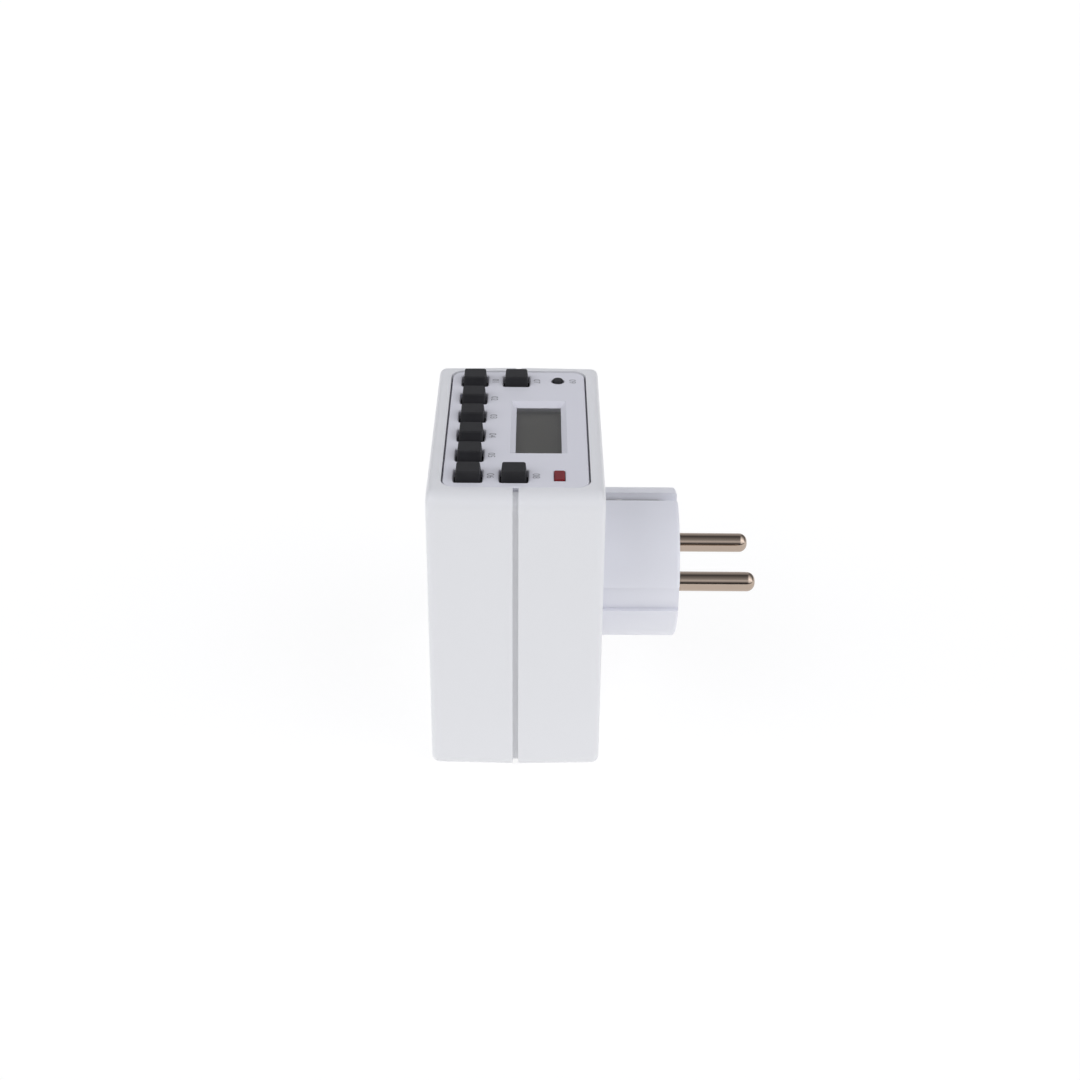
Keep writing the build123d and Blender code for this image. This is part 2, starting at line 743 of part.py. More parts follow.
def make_control_board():
    board = slab(
        2 * board_half_x, control_board_length, board_corner, control_board_z, control_board_top_z,
    )
    low_z = control_board_z - over
    high_z = control_board_top_z + over
    for x, y in post_places:
        board -= rod_z(board_screw_radius + board_hole_gap, low_z, high_z, x, y)
    for x, y in lamp_lead_places():
        board -= rod_z(lamp_lead_radius + lamp_lead_hole_gap, low_z, high_z, x, y)
    return board


def make_control_board_screws():
    """Screws from below through the control board into the panel's posts."""
    screws = []
    for x, y in post_places:
        top = control_board_z
        head = rod_z(board_screw_head_radius, top - board_screw_head_height, top, x, y)
        screws.append(head + rod_z(board_screw_radius, top, top + board_screw_length, x, y))
    return group(screws)


def make_control_chip():
    """Drop of potting resin over the controller die, on the board's underside."""
    drop = rod_z(chip_radius, control_board_z - chip_height, control_board_z, *chip_place)
    return fillet(drop.faces().sort_by(Axis.Z)[0].edges(), chip_edge_radius)


def make_clock_crystal():
    """Round can lying along Y under the board."""
    x, y = crystal_place
    place = Pos(x, y, control_board_z - crystal_radius) * Rot(90, 0, 0)
    return place * Cylinder(crystal_radius, crystal_length)


def make_backup_cell():
    """Rechargeable button cell under the control board."""
    top_z = control_board_z - cell_tab_thickness
    cell = rod_z(cell_radius, top_z - cell_height, top_z, *cell_place)
    return fillet(cell.faces().sort_by(Axis.Z)[0].edges(), cell_edge_radius)


def make_backup_cell_tabs():
    """Solder tabs: one over the cell, one under it and back up to the board."""
    x, y = cell_place
    half_x = cell_tab_width / 2
    half_y = cell_tab_length / 2
    top_z = control_board_z
    upper = block(x - half_x, x + half_x, y - half_y, y + half_y, top_z - cell_tab_thickness, top_z)
    cell_low_z = top_z - cell_tab_thickness - cell_height
    low_z = cell_low_z - cell_tab_thickness
    leg_y0 = y + cell_radius + cell_leg_gap
    leg_y1 = leg_y0 + cell_tab_thickness
    lower = block(x - half_x, x + half_x, y - half_y, leg_y1, low_z, cell_low_z)
    lower += block(x - half_x, x + half_x, leg_y0, leg_y1, low_z, top_z)
    return group([upper, lower])


def make_ribbon_cable():
    """Flat cable between the boards: thin webs join wires that lie side by side."""
    z0 = power_board_top_z + ribbon_plug_height
    z1 = control_board_z - ribbon_plug_height
    step = ribbon_width / ribbon_wires
    web = ribbon_web / 2
    wire = ribbon_thickness / 2
    ribbon = block(
        ribbon_x - ribbon_width / 2, ribbon_x + ribbon_width / 2, ribbon_y - web, ribbon_y + web, z0, z1,
    )
    for i in range(ribbon_wires):
        x = ribbon_x + (i - (ribbon_wires - 1) / 2) * step
        ribbon += block(x - step / 4, x + step / 4, ribbon_y - wire, ribbon_y + wire, z0, z1)
    return ribbon


def make_ribbon_plugs():
    """One plug on each board, at the cable's two ends."""
    half_x = ribbon_width / 2 + ribbon_plug_wall
    half_y = ribbon_plug_thickness / 2
    plugs = []
    for z0 in (power_board_top_z, control_board_z - ribbon_plug_height):
        plugs.append(block(
            ribbon_x - half_x, ribbon_x + half_x, ribbon_y - half_y, ribbon_y + half_y,
            z0, z0 + ribbon_plug_height,
        ))
    return group(plugs)


def make_power_board():
    return block(
        board_front_x, board_rear_x, -power_board_half, power_board_half, power_board_z, power_board_top_z,
    )


def headroom(y):
    """Free height over the power board under the socket's cup, at a distance y from the middle."""
    cup_z = plug_axis_z - math.sqrt(insert_radius ** 2 - y ** 2)
    return cup_z - power_board_top_z - part_gap


def standing_case(size_x, size_y, height, place, edge_radius):
    """Moulded case on the power board with rounded top edges."""
    case = slab(size_x, size_y, case_corner, power_board_top_z, power_board_top_z + height, *place)
    return fillet(case.faces().sort_by(Axis.Z)[-1].edges(), edge_radius)


def make_relay():
    """Relay under the socket's earth strip."""
    strip_z = plug_axis_z - earth_arm_inner - strip_thickness
    height = strip_z - part_gap - power_board_top_z
    return standing_case(relay_width, relay_length, height, (relay_x, 0.0), relay_edge_radius)


def make_dropper_capacitor():
    height = headroom(film_place[1] - film_width / 2)
    return standing_case(film_length, film_width, height, film_place, film_edge_radius)


def make_smoothing_capacitor():
    top_z = power_board_top_z + headroom(smoothing_place[1] + smoothing_radius)
    can = rod_z(smoothing_radius, power_board_top_z, top_z, *smoothing_place)
    return fillet(can.faces().sort_by(Axis.Z)[-1].edges(), smoothing_edge_radius)


def make_varistor():
    """Coated disc standing on its edge."""
    radius = headroom(0.0) / 2
    x0 = varistor_x - varistor_thickness / 2
    disc = rod_x(radius, x0, x0 + varistor_thickness, 0, power_board_top_z + radius)
    return fillet(disc.edges().filter_by(GeomType.CIRCLE), varistor_edge_radius)


def make_fuse():
    """Tube fuse lying along Y between its end caps."""
    z = power_board_top_z + fuse_radius
    tube = Pos(fuse_x, 0, z) * Rot(90, 0, 0) * Cylinder(fuse_radius - fuse_cap_wall, fuse_length)
    for side in (-1, 1):
        y = side * (fuse_length - fuse_cap_length) / 2
        tube += Pos(fuse_x, y, z) * Rot(90, 0, 0) * Cylinder(fuse_radius, fuse_cap_length)
    return tube


def make_rectifier():
    """Bridge rectifier in a small flat case beside the varistor."""
    x = board_front_x + part_gap + rectifier_thickness / 2
    y = headroom(0.0) / 2 + part_gap / 2 + rectifier_width / 2
    top_z = power_board_top_z + rectifier_height
    return slab(rectifier_thickness, rectifier_width, case_corner / 2, power_board_top_z, top_z, x, y)


def low_high(side, near, far):
    """The two distances from the plug's axis on one side of it, as a low and a high Z."""
    zs = (plug_axis_z + side * near, plug_axis_z + side * far)
    return min(zs), max(zs)


def shutter_stop_places():
    """Y and Z of the posts that each wing meets, closed and fully turned."""
    lead = math.degrees(math.asin((shutter_stop_radius + shutter_stop_gap) / shutter_stop_reach))
    lead += shutter_half_angle
    turned = [math.radians(start + angle) for start in (0, 180) for angle in (-lead, shutter_turn + lead)]
    return [
        (shutter_stop_reach * math.cos(angle), plug_axis_z + shutter_stop_reach * math.sin(angle))
        for angle in turned
    ]


def make_socket_insert():
    """The round well: cup, rear flange, guide ribs, pin holes, earth slots and shutter pivot."""
    cup = rod_x(insert_radius, front_x, insert_back_x)
    flange_x = front_x + wall + panel_seat_clearance / 2
    cup += rod_x(insert_radius + well_flange_overlap, flange_x, flange_x + well_flange_thickness)
    cup -= rod_x(well_radius, front_x - over, well_floor_x)
    mouth = cup.faces().sort_by(Axis.X)[0].inner_wires().edges()
    cup = chamfer(mouth, socket_rim_chamfer)
    rib_z = guide_rib_width / 2
    slot_y = earth_slot_width / 2
    for side in (-1, 1):
        rib_ys = sorted((side * (well_radius + weld), side * (well_radius - guide_rib_height)))
        cup += block(
            front_x + guide_rib_inset, well_floor_x + weld, *rib_ys, plug_axis_z - rib_z, plug_axis_z + rib_z,
        )
        cup -= rod_x(pin_hole_radius, well_floor_x - over, insert_back_x + over, side * pin_y)
        slot_zs = low_high(
            side, earth_arm_inner - earth_slot_end_clearance,
            earth_arm_inner + strip_thickness + earth_slot_end_clearance,
        )
        cup -= block(well_floor_x - weld, insert_back_x + over, -slot_y, slot_y, *slot_zs)
        ear_y = side * carrier_ear_reach
        cup += rod_x(carrier_ear_radius, insert_back_x - over, carrier_front_x, ear_y)
        hole_x = carrier_front_x + carrier_ear_thickness - carrier_screw_length
        cup -= rod_x(carrier_screw_radius, hole_x, carrier_front_x + over, ear_y)
    for y, z in shutter_stop_places():
        cup += rod_x(shutter_stop_radius, insert_back_x - over, shutter_back_x, y, z)
    cup += rod_x(pivot_radius, insert_back_x - over, pivot_end_x)
    cup -= rod_x(pivot_screw_hole_radius, pivot_end_x - pivot_screw_length - over, pivot_end_x + over)
    return cup


def wing(side):
    """One shutter wing: a sector that covers a pin hole, with a ramp for the pin's tip."""
    half = math.radians(shutter_half_angle)
    rim = (
        (shutter_wing_root, -half), (shutter_reach, -half), (shutter_reach, 0.0),
        (shutter_reach, half), (shutter_wing_root, half),
    )
    points = [(side * r * math.cos(a), side * r * math.sin(a)) for r, a in rim]
    sector = make_face([
        Line(points[0], points[1]), ThreePointArc(points[1], points[2], points[3]),
        Line(points[3], points[4]), Line(points[4], points[0]),
    ])
    plane = Plane((shutter_front_x, 0, plug_axis_z), x_dir=(0, 1, 0), z_dir=(1, 0, 0))
    plate = extrude(plane * sector, shutter_thickness)
    edge = shutter_reach * math.sin(half)
    low_z = plug_axis_z - side * (edge + over)
    high_z = plug_axis_z + side * (edge - shutter_land)
    slope = Polygon(
        (shutter_front_x, low_z), (shutter_front_x, high_z), (shutter_front_x + shutter_ramp, low_z),
        align=None,
    )
    across = Plane((0, side * (shutter_hub_radius + over), 0), x_dir=(1, 0, 0), z_dir=(0, -1, 0))
    return plate - extrude(across * slope, -side * shutter_reach)


def make_shutter():
    """Rotor behind the pin holes. The pins turn it about the pivot against its spring."""
    rotor = rod_x(shutter_hub_radius, shutter_front_x, shutter_back_x)
    rotor += wing(1)
    rotor += wing(-1)
    bore = pivot_radius + pivot_clearance
    return rotor - rod_x(bore, shutter_front_x - over, shutter_back_x + over)


def make_shutter_spring():
    """Torsion spring round the pivot, shown as its closed winding."""
    inner = pivot_radius + shutter_spring_gap
    x0 = shutter_back_x + shutter_spring_gap
    spring = rod_x(inner + shutter_spring_wire, x0, pivot_end_x)
    return spring - rod_x(inner, x0 - over, pivot_end_x + over)


def make_shutter_screw():
    """Screw in the pivot's end, whose head keeps the shutter and its spring on."""
    head = rod_x(pivot_radius + shutter_screw_overhang, pivot_end_x, pivot_end_x + shutter_screw_head)
    return head + rod_x(pivot_screw_radius, pivot_end_x - pivot_screw_length, pivot_end_x)


def make_contact_carrier():
    """Moulded block with two contact pockets and two ears that stand on the socket insert."""
    z0 = plug_axis_z - carrier_half_height
    z1 = plug_axis_z + carrier_half_height
    carrier = block(carrier_front_x, carrier_back_x, -carrier_half_width, carrier_half_width, z0, z1)
    carrier = fillet(carrier.edges().filter_by(Axis.X), carrier_edge_radius)
    ear_back_x = carrier_front_x + carrier_ear_thickness
    head_hole = carrier_screw_head_radius + 2 * carrier_clearance
    for side in (-1, 1):
        y = side * carrier_ear_reach
        carrier += rod_x(carrier_ear_radius, carrier_front_x, ear_back_x, y)
        screw_hole = carrier_screw_radius + 2 * carrier_clearance
        carrier -= rod_x(screw_hole, carrier_front_x - over, ear_back_x + over, y)
        carrier -= rod_x(head_hole, ear_back_x, carrier_back_x + over, y)
        pocket = contact_radius + carrier_clearance
        carrier -= rod_x(pocket, contact_front_x, carrier_back_x + over, side * pin_y)
        pin_hole = pin_hole_radius + carrier_clearance
        carrier -= rod_x(pin_hole, carrier_front_x - over, contact_front_x, side * pin_y)
    room = pivot_radius + shutter_screw_overhang + carrier_room
    carrier -= rod_x(room, carrier_front_x - over, pivot_end_x + shutter_screw_head + carrier_room)
    bar_half = bar_width / 2 + bar_slot_clearance
    slot_z = strip_thickness / 2 + bar_slot_gap
    carrier -= block(
        output_bar_x - bar_half, carrier_back_x + over, -carrier_half_width - over, -pin_y,
        plug_axis_z - slot_z, plug_axis_z + slot_z,
    )
    return carrier


def make_carrier_screws():
    """Two screws through the carrier's ears into the socket insert."""
    seat_x = carrier_front_x + carrier_ear_thickness
    screws = []
    for side in (-1, 1):
        y = side * carrier_ear_reach
        head = rod_x(carrier_screw_head_radius, seat_x, seat_x + carrier_screw_head_height, y)
        screws.append(head + rod_x(carrier_screw_radius, seat_x - carrier_screw_length, seat_x, y))
    return group(screws)


def make_contact(side):
    """Spring sleeve that grips an appliance's pin, closed at its back and slit along its length."""
    y = side * pin_y
    floor_x = contact_back_x - contact_floor
    slit = contact_slit / 2
    sleeve = rod_x(contact_radius, contact_front_x, contact_back_x, y)
    sleeve -= rod_x(contact_bore_radius, contact_front_x - over, floor_x, y)
    sleeve -= block(
        contact_front_x - over, floor_x - contact_slit_end, y - slit, y + slit,
        plug_axis_z, plug_axis_z + contact_radius + over,
    )
    return sleeve


def strip_xz(points, width, y):
    """A bent strip of sheet that keeps its width along Y, following points in X and Z."""
    path = FilletPolyline(*points, radius=strip_bend)
    section = trace(path, strip_thickness)
    plane = Plane((0, y + width / 2, 0), x_dir=(1, 0, 0), z_dir=(0, -1, 0))
    return extrude(plane * section, width)


def rivet_hole():
    return rod_x(rivet_radius, earth_bar_x - strip_thickness - strip_gap - over, rear_x)


def make_socket_earth_contact():
    """One strip: across the back of the contact carrier, and two sprung arms into the well."""
    bar_x = earth_bar_x - strip_gap - strip_thickness / 2
    reach = earth_arm_inner + strip_thickness / 2
    points = []
    for side in (1, -1):
        root_z = plug_axis_z + side * reach
        bow_z = plug_axis_z + side * (reach - earth_arm_bow)
        arm = [
            (front_x + earth_arm_start, root_z), (front_x + earth_arm_touch, bow_z),
            (front_x + earth_arm_root, root_z), (bar_x, root_z),
        ]
        points += arm if side == 1 else arm[::-1]
    return strip_xz(points, earth_strip_width, 0.0) - rivet_hole()


def make_plug_body():
    """Round plug: hollow cup with a flange behind the rear wall, earth recesses and guide grooves."""
    body = rod_x(plug_radius, plug_flange_x, plug_face_x)
    body = fillet(body.faces().sort_by(Axis.X)[-1].edges(), plug_edge_radius)
    flange_back_x = rear_x - wall - panel_seat_clearance / 2
    body += rod_x(plug_radius + plug_flange_overlap, plug_flange_x, flange_back_x)
    body -= rod_x(plug_hollow_radius, plug_flange_x - over, plug_face_x - plug_face_wall)
    groove = guide_groove_width / 2
    recess = earth_recess_width / 2
    strip_in = earth_recess_height - strip_thickness
    slot_out = earth_recess_height + earth_strip_slot
    nose_out = earth_recess_height - earth_nose_drop
    nose_x = plug_face_x - earth_nose_length
    tip_in = strip_in - earth_tip_dip - earth_strip_slot
    tip_x = nose_x - earth_tip_run - strip_bend
    past_wall = plug_radius + over
    past_flange = plug_radius + plug_flange_overlap + over
    for side in (-1, 1):
        ys = sorted((side * (plug_radius - guide_groove_depth), side * past_wall))
        body -= block(rear_x, plug_face_x + over, *ys, plug_axis_z - groove, plug_axis_z + groove)
        body -= block(rear_x, nose_x, -recess, recess, *low_high(side, strip_in, past_wall))
        body -= block(tip_x, nose_x, -recess, recess, *low_high(side, tip_in, past_wall))
        body -= block(nose_x - weld, plug_face_x + over, -recess, recess, *low_high(side, nose_out, past_wall))
        body -= block(earth_bar_x - over, rear_x + weld, -recess, recess, *low_high(side, strip_in, slot_out))
        bend_x = earth_bar_x + strip_thickness + strip_bend
        hollow_in = plug_hollow_radius - plug_flange_overlap
        body -= block(plug_flange_x - over, bend_x, -recess, recess, *low_high(side, hollow_in, past_flange))
        seat = pin_seat_radius + pin_seat_clearance
        body -= rod_x(seat, plug_face_x - plug_face_wall - over, plug_face_x + over, side * pin_y)
    return body


def make_pin(side):
    """Plug pin: round-tipped shank, collar behind the plug's face and riveting tail."""
    y = side * pin_y
    collar_x = plug_face_x - plug_face_wall
    pin = rod_x(pin_radius, plug_face_x, tip_x, y)
    pin = fillet(pin.faces().sort_by(Axis.X)[-1].edges(), pin_tip_radius)
    pin += rod_x(pin_seat_radius, collar_x, plug_face_x, y)
    pin += rod_x(pin_collar_radius, collar_x - pin_collar_length, collar_x, y)
    return pin + rod_x(pin_tail_radius, pin_tail_x, collar_x - pin_collar_length, y)


def make_plug_earth_contact():
    """One strip: across the plug's hollow and along both earth recesses."""
    bar_x = earth_bar_x + strip_thickness / 2
    reach = earth_recess_height - strip_thickness / 2
    end_x = plug_face_x - earth_nose_length - earth_strip_slot
    dip_x = end_x - earth_tip_run
    tip = reach - earth_tip_dip
    points = [
        (end_x, plug_axis_z + tip), (dip_x, plug_axis_z + reach), (bar_x, plug_axis_z + reach),
        (bar_x, plug_axis_z - reach), (dip_x, plug_axis_z - reach), (end_x, plug_axis_z - tip),
    ]
    return strip_xz(points, earth_strip_width, 0.0) - rivet_hole()


def make_earth_rivet():
    """Rivet through both earth strips on the plug's axis."""
    front = earth_bar_x - strip_gap - strip_thickness
    back = earth_bar_x + strip_thickness
    rivet = rod_x(rivet_head_radius, front - rivet_head_height, front)
    rivet += rod_x(rivet_head_radius, back, back + rivet_head_height)
    return rivet + rod_x(rivet_radius, front, back)


def make_neutral_bar():
    """Flat bar from the neutral pin's tail to its socket contact."""
    half = strip_thickness / 2
    z0 = plug_axis_z - bar_width / 2
    return block(contact_back_x, pin_tail_x, pin_y - half, pin_y + half, z0, z0 + bar_width)


def make_live_input_bar():
    """Bent bar from the live pin's tail, under its socket contact, down to the power board."""
    step_z = plug_axis_z - contact_radius - strip_thickness / 2 - 2 * bar_slot_clearance - strip_bend
    points = [
        (pin_tail_x, plug_axis_z), (input_step_x, plug_axis_z), (input_step_x, step_z),
        (input_bar_x, step_z), (input_bar_x, power_board_top_z),
    ]
    return strip_xz(points, bar_width, -pin_y)


def make_live_output_bar():
    """Angle from the power board beside the relay up to the live socket contact."""
    bar_y = -carrier_half_width - bar_gap
    half = strip_thickness / 2
    x0 = output_bar_x - bar_width / 2
    x1 = output_bar_x + bar_width / 2
    z0 = plug_axis_z - half
    z1 = plug_axis_z + half
    upright = block(x0, x1, bar_y - half, bar_y + half, power_board_top_z, z1)
    return upright + block(x0, x1, bar_y - half, -pin_y - contact_radius, z0, z1)


os.makedirs("parts", exist_ok=True)
keep("front_shell", make_front_shell())
keep("rear_shell", make_rear_shell())
keep("housing_screws", make_housing_screws())
keep("control_panel", make_control_panel())
for key_name, key_x, key_y in key_places():
    keep(key_name, make_key(key_x, key_y))
keep("reset_button", make_reset_button())
keep("keypad_mat", make_keypad_mat())
keep("lcd_window", make_lcd_window())
keep("lcd_cell", make_lcd_cell())
keep("lcd_frame", make_lcd_frame())
keep("lcd_contact_strips", group(lcd_strip_blocks(0.0)))
keep("led_lamp", make_led_lamp())
keep("led_leads", make_led_leads())
keep("control_board", make_control_board())
keep("control_board_screws", make_control_board_screws())
keep("control_chip", make_control_chip())
keep("clock_crystal", make_clock_crystal())
keep("backup_cell", make_backup_cell())
keep("backup_cell_tabs", make_backup_cell_tabs())
keep("ribbon_cable", make_ribbon_cable())
keep("ribbon_plugs", make_ribbon_plugs())
keep("power_board", make_power_board())
keep("relay", make_relay())
keep("dropper_capacitor", make_dropper_capacitor())
keep("smoothing_capacitor", make_smoothing_capacitor())
keep("varistor", make_varistor())
keep("fuse", make_fuse())
keep("rectifier", make_rectifier())
keep("socket_insert", make_socket_insert())
keep("shutter", make_shutter())
keep("shutter_spring", make_shutter_spring())
keep("shutter_screw", make_shutter_screw())
keep("contact_carrier", make_contact_carrier())
keep("carrier_screws", make_carrier_screws())
keep("live_contact", make_contact(-1))
keep("neutral_contact", make_contact(1))
keep("socket_earth_contact", make_socket_earth_contact())
keep("plug_body", make_plug_body())
keep("live_pin", make_pin(-1))
keep("neutral_pin", make_pin(1))
keep("plug_earth_contact", make_plug_earth_contact())
keep("earth_rivet", make_earth_rivet())
keep("neutral_bar", make_neutral_bar())
keep("live_input_bar", make_live_input_bar())
keep("live_output_bar", make_live_output_bar())
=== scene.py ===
import math

import bmesh
import bpy
from mathutils import Matrix, Vector


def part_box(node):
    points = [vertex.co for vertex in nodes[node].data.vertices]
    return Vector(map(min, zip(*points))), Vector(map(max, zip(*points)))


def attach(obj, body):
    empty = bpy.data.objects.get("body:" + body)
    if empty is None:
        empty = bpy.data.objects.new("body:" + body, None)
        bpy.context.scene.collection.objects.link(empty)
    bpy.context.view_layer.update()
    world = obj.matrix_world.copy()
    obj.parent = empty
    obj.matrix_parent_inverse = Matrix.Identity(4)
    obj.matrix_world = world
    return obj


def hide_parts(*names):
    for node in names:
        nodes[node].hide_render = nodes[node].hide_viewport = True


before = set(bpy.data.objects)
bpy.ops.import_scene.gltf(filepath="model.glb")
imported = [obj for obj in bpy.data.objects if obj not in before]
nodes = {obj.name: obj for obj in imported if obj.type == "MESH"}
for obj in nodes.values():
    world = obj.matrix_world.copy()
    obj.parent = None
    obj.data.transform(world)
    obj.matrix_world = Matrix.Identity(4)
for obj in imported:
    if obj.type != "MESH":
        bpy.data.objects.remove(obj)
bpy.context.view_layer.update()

# Camera. It looks down on the timer's near side face from the front, at the photograph's place,
# tilt and lens, so that the control panel, the side face and the plug's pins all show.
camera_place = (-0.01473, -0.37076, 0.25719)
camera_down = math.radians(30.03)
camera_turn = math.radians(0.21)
camera_roll = math.radians(0.49)
camera_lens = 57.71

ahead = Vector((
    math.sin(camera_turn) * math.cos(camera_down),
    math.cos(camera_turn) * math.cos(camera_down),
    -math.sin(camera_down),
))
level = Vector((math.cos(camera_turn), -math.sin(camera_turn), 0.0))
upright = level.cross(ahead)
right = level * math.cos(camera_roll) + upright * math.sin(camera_roll)
up = upright * math.cos(camera_roll) - level * math.sin(camera_roll)
camera = bpy.data.objects.new("camera", bpy.data.cameras.new("camera"))
bpy.context.scene.collection.objects.link(camera)
camera.matrix_world = Matrix((
    (right.x, up.x, -ahead.x, camera_place[0]),
    (right.y, up.y, -ahead.y, camera_place[1]),
    (right.z, up.z, -ahead.z, camera_place[2]),
    (0, 0, 0, 1),
))
camera.data.sensor_width = 36.0
camera.data.lens = camera_lens
camera.data.clip_start = 0.01
bpy.context.scene.camera = camera


# Photographer's table: a lit white acrylic sheet that fills the view and lights the timer from
# below, as on a table for product pictures, under a soft studio that is brightest at its walls.
# A roll of white paper behind the table is all that the camera itself sees of the studio.
table_half = 1.6
table_glow = 0.80
table_white = (0.26, 0.26, 0.26)
paper_white = (1.0, 1.0, 1.0)


def new_material(name):
    """An empty material with its output, ready for a finish."""
    made = bpy.data.materials.new(name)
    made.use_nodes = True
    tree = made.node_tree
    tree.nodes.clear()
    output = tree.nodes.new("ShaderNodeOutputMaterial")
    return made, tree, output


def add(tree, kind, inputs=None, **settings):
    """One shader node, with its settings and its sockets' values or links."""
    made = tree.nodes.new("ShaderNode" + kind)
    for key, value in settings.items():
        setattr(made, key, value)
    for key, value in (inputs or {}).items():
        socket = made.inputs[key]
        if isinstance(value, bpy.types.NodeSocket):
            tree.links.new(value, socket)
        elif socket.type == "RGBA" and len(value) == 3:
            socket.default_value = (*value, 1.0)
        else:
            socket.default_value = value
    return made


table_corners = [(x * table_half, y * table_half, 0.0) for x, y in ((-1, -1), (1, -1), (1, 1), (-1, 1))]
table_mesh = bpy.data.meshes.new("table_sheet")
table_mesh.from_pydata(table_corners, [], [(0, 1, 2, 3)])
table_sheet = bpy.data.objects.new("table_sheet", table_mesh)
bpy.context.scene.collection.objects.link(table_sheet)
table_finish, tree, output = new_material("lit_acrylic")
sheet_top = add(tree, "BsdfPrincipled", {
    "Base Color": table_white, "Roughness": 0.6, "Specular IOR Level": 0.15,
    "Emission Color": paper_white, "Emission Strength": table_glow,
})
tree.links.new(sheet_top.outputs["BSDF"], output.inputs["Surface"])
table_mesh.materials.append(table_finish)

# The studio is a tent of cloth that arches over the timer from front to back. Each pair is an angle
# up this arch, in degrees from the front horizon, and the cloth's shade there.
box_strength = 2.2
wall_tint = (0.985, 0.992, 1.03)
arch = 180
middle_glow = (
    (0, 0.01), (18, 0.04), (28, 0.23), (40, 0.42), (55, 0.22), (70, 0.15), (90, 0.085),
    (110, 0.035), (130, 0.18), (155, 0.28), (180, 0.38),
)
side_glow = (
    (0, 0.05), (10, 0.12), (18, 0.46), (30, 0.63), (60, 0.96), (90, 0.56), (130, 0.12), (180, 0.08),
)
middle_ends, side_begins = 0.25, 0.45
world = bpy.data.worlds.new("soft_studio")
bpy.context.scene.world = world
world.use_nodes = True
sky = world.node_tree
sky.nodes.clear()
aim = add(sky, "SeparateXYZ", {"Vector": add(sky, "TexCoord").outputs["Generated"]})
front = add(sky, "Math", {0: aim.outputs["Y"], 1: -1.0}, operation="MULTIPLY")
bow = add(sky, "Math", {0: aim.outputs["Z"], 1: front.outputs[0]}, operation="ARCTAN2")
over = add(sky, "Math", {0: bow.outputs[0], 1: math.pi}, operation="DIVIDE")
boxes = []
for glow in (middle_glow, side_glow):
    ramp = add(sky, "ValToRGB", {"Fac": over.outputs[0]})
    stops = ramp.color_ramp.elements
    for index, (degrees, shade) in enumerate(glow):
        stop = stops[index] if index < 2 else stops.new(degrees / arch)
        stop.position = degrees / arch
        stop.color = (*(shade * part for part in wall_tint), 1.0)
    boxes.append(ramp.outputs["Color"])
across = add(sky, "Math", {0: aim.outputs["X"]}, operation="ABSOLUTE")
to_side = add(
    sky, "MapRange", {"Value": across.outputs[0], "From Min": middle_ends, "From Max": side_begins},
    interpolation_type="SMOOTHSTEP",
)
glow_mix = add(sky, "Mix", {0: to_side.outputs[0], 6: boxes[0], 7: boxes[1]}, data_type="RGBA")
studio = add(sky, "Background", {"Color": glow_mix.outputs[2], "Strength": box_strength})
paper_roll = add(sky, "Background", {"Color": paper_white})
ray = add(sky, "LightPath")
backdrop = add(sky, "MixShader", {
    0: ray.outputs["Is Camera Ray"], 1: studio.outputs["Background"], 2: paper_roll.outputs["Background"],
})
sky.links.new(backdrop.outputs[0], add(sky, "OutputWorld").inputs["Surface"])

bpy.context.scene.view_settings.view_transform = "Standard"


# Housing shells with the round socket well, moulded in satin white plastic with the fine even grain
# of their tools, and the plug's body behind them, in a plastic that is a little cooler and less glossy.
# The plug's tones are also a little lighter than the shells': painted light that brightens the whole plug.
housing_tones = ((0.80, 0.804, 0.822), (0.785, 0.789, 0.804))
# Plug tones: the cooler tint is the plastic's own, the extra lightness over the shells' tones is painted
# light.
plug_tones_painted_lighter = ((0.825, 0.83, 0.885), (0.81, 0.815, 0.865))
mould_grain = 2600.0
grain_depth = 0.00005
gloss_spread = 0.03


def finish_plastic(name, colours, roughness, grain=mould_grain, depth=grain_depth, shine=0.4):
    """Moulded plastic: slow drift in tone, fine grain and a little unevenness in its gloss."""
    made, tree, output = new_material(name)
    place = add(tree, "TexCoord").outputs["Object"]
    drift = add(tree, "TexNoise", {"Vector": place, "Scale": 38.0, "Detail": 2.0, "Roughness": 0.5})
    tone = add(tree, "Mix", {0: drift.outputs["Fac"], 6: colours[0], 7: colours[1]}, data_type="RGBA")
    gloss = add(tree, "TexNoise", {"Vector": place, "Scale": 260.0, "Detail": 3.0})
    gloss_range = add(tree, "MapRange", {
        "Value": gloss.outputs["Fac"], "From Min": 0.2, "From Max": 0.8,
        "To Min": roughness - gloss_spread, "To Max": roughness + gloss_spread,
    })
    fine = add(tree, "TexNoise", {"Vector": place, "Scale": grain, "Detail": 4.0, "Roughness": 0.62})
    relief = add(tree, "Bump", {"Height": fine.outputs["Fac"], "Strength": 0.35, "Distance": depth})
    shell = add(tree, "BsdfPrincipled", {
        "Base Color": tone.outputs[2], "Roughness": gloss_range.outputs["Result"],
        "Normal": relief.outputs["Normal"], "IOR": 1.5, "Specular IOR Level": shine,
        "Subsurface Weight": 0.10, "Subsurface Radius": (1.0, 1.0, 1.0), "Subsurface Scale": 0.0012,
    })
    tree.links.new(shell.outputs["BSDF"], output.inputs["Surface"])
    return made


def dress(names, material):
    """Give CAD pieces their finish."""
    for name in names:
        mesh = nodes[name].data
        mesh.materials.clear()
        mesh.materials.append(material)


housing_plastic = finish_plastic("satin_white_plastic", housing_tones, roughness=0.36, shine=0.5)
dress(("front_shell", "rear_shell", "socket_insert"), housing_plastic)
plug_plastic_painted_lighter = finish_plastic("plug_white_plastic_painted_lighter", plug_tones_painted_lighter, roughness=0.40)
dress(("plug_body",), plug_plastic_painted_lighter)


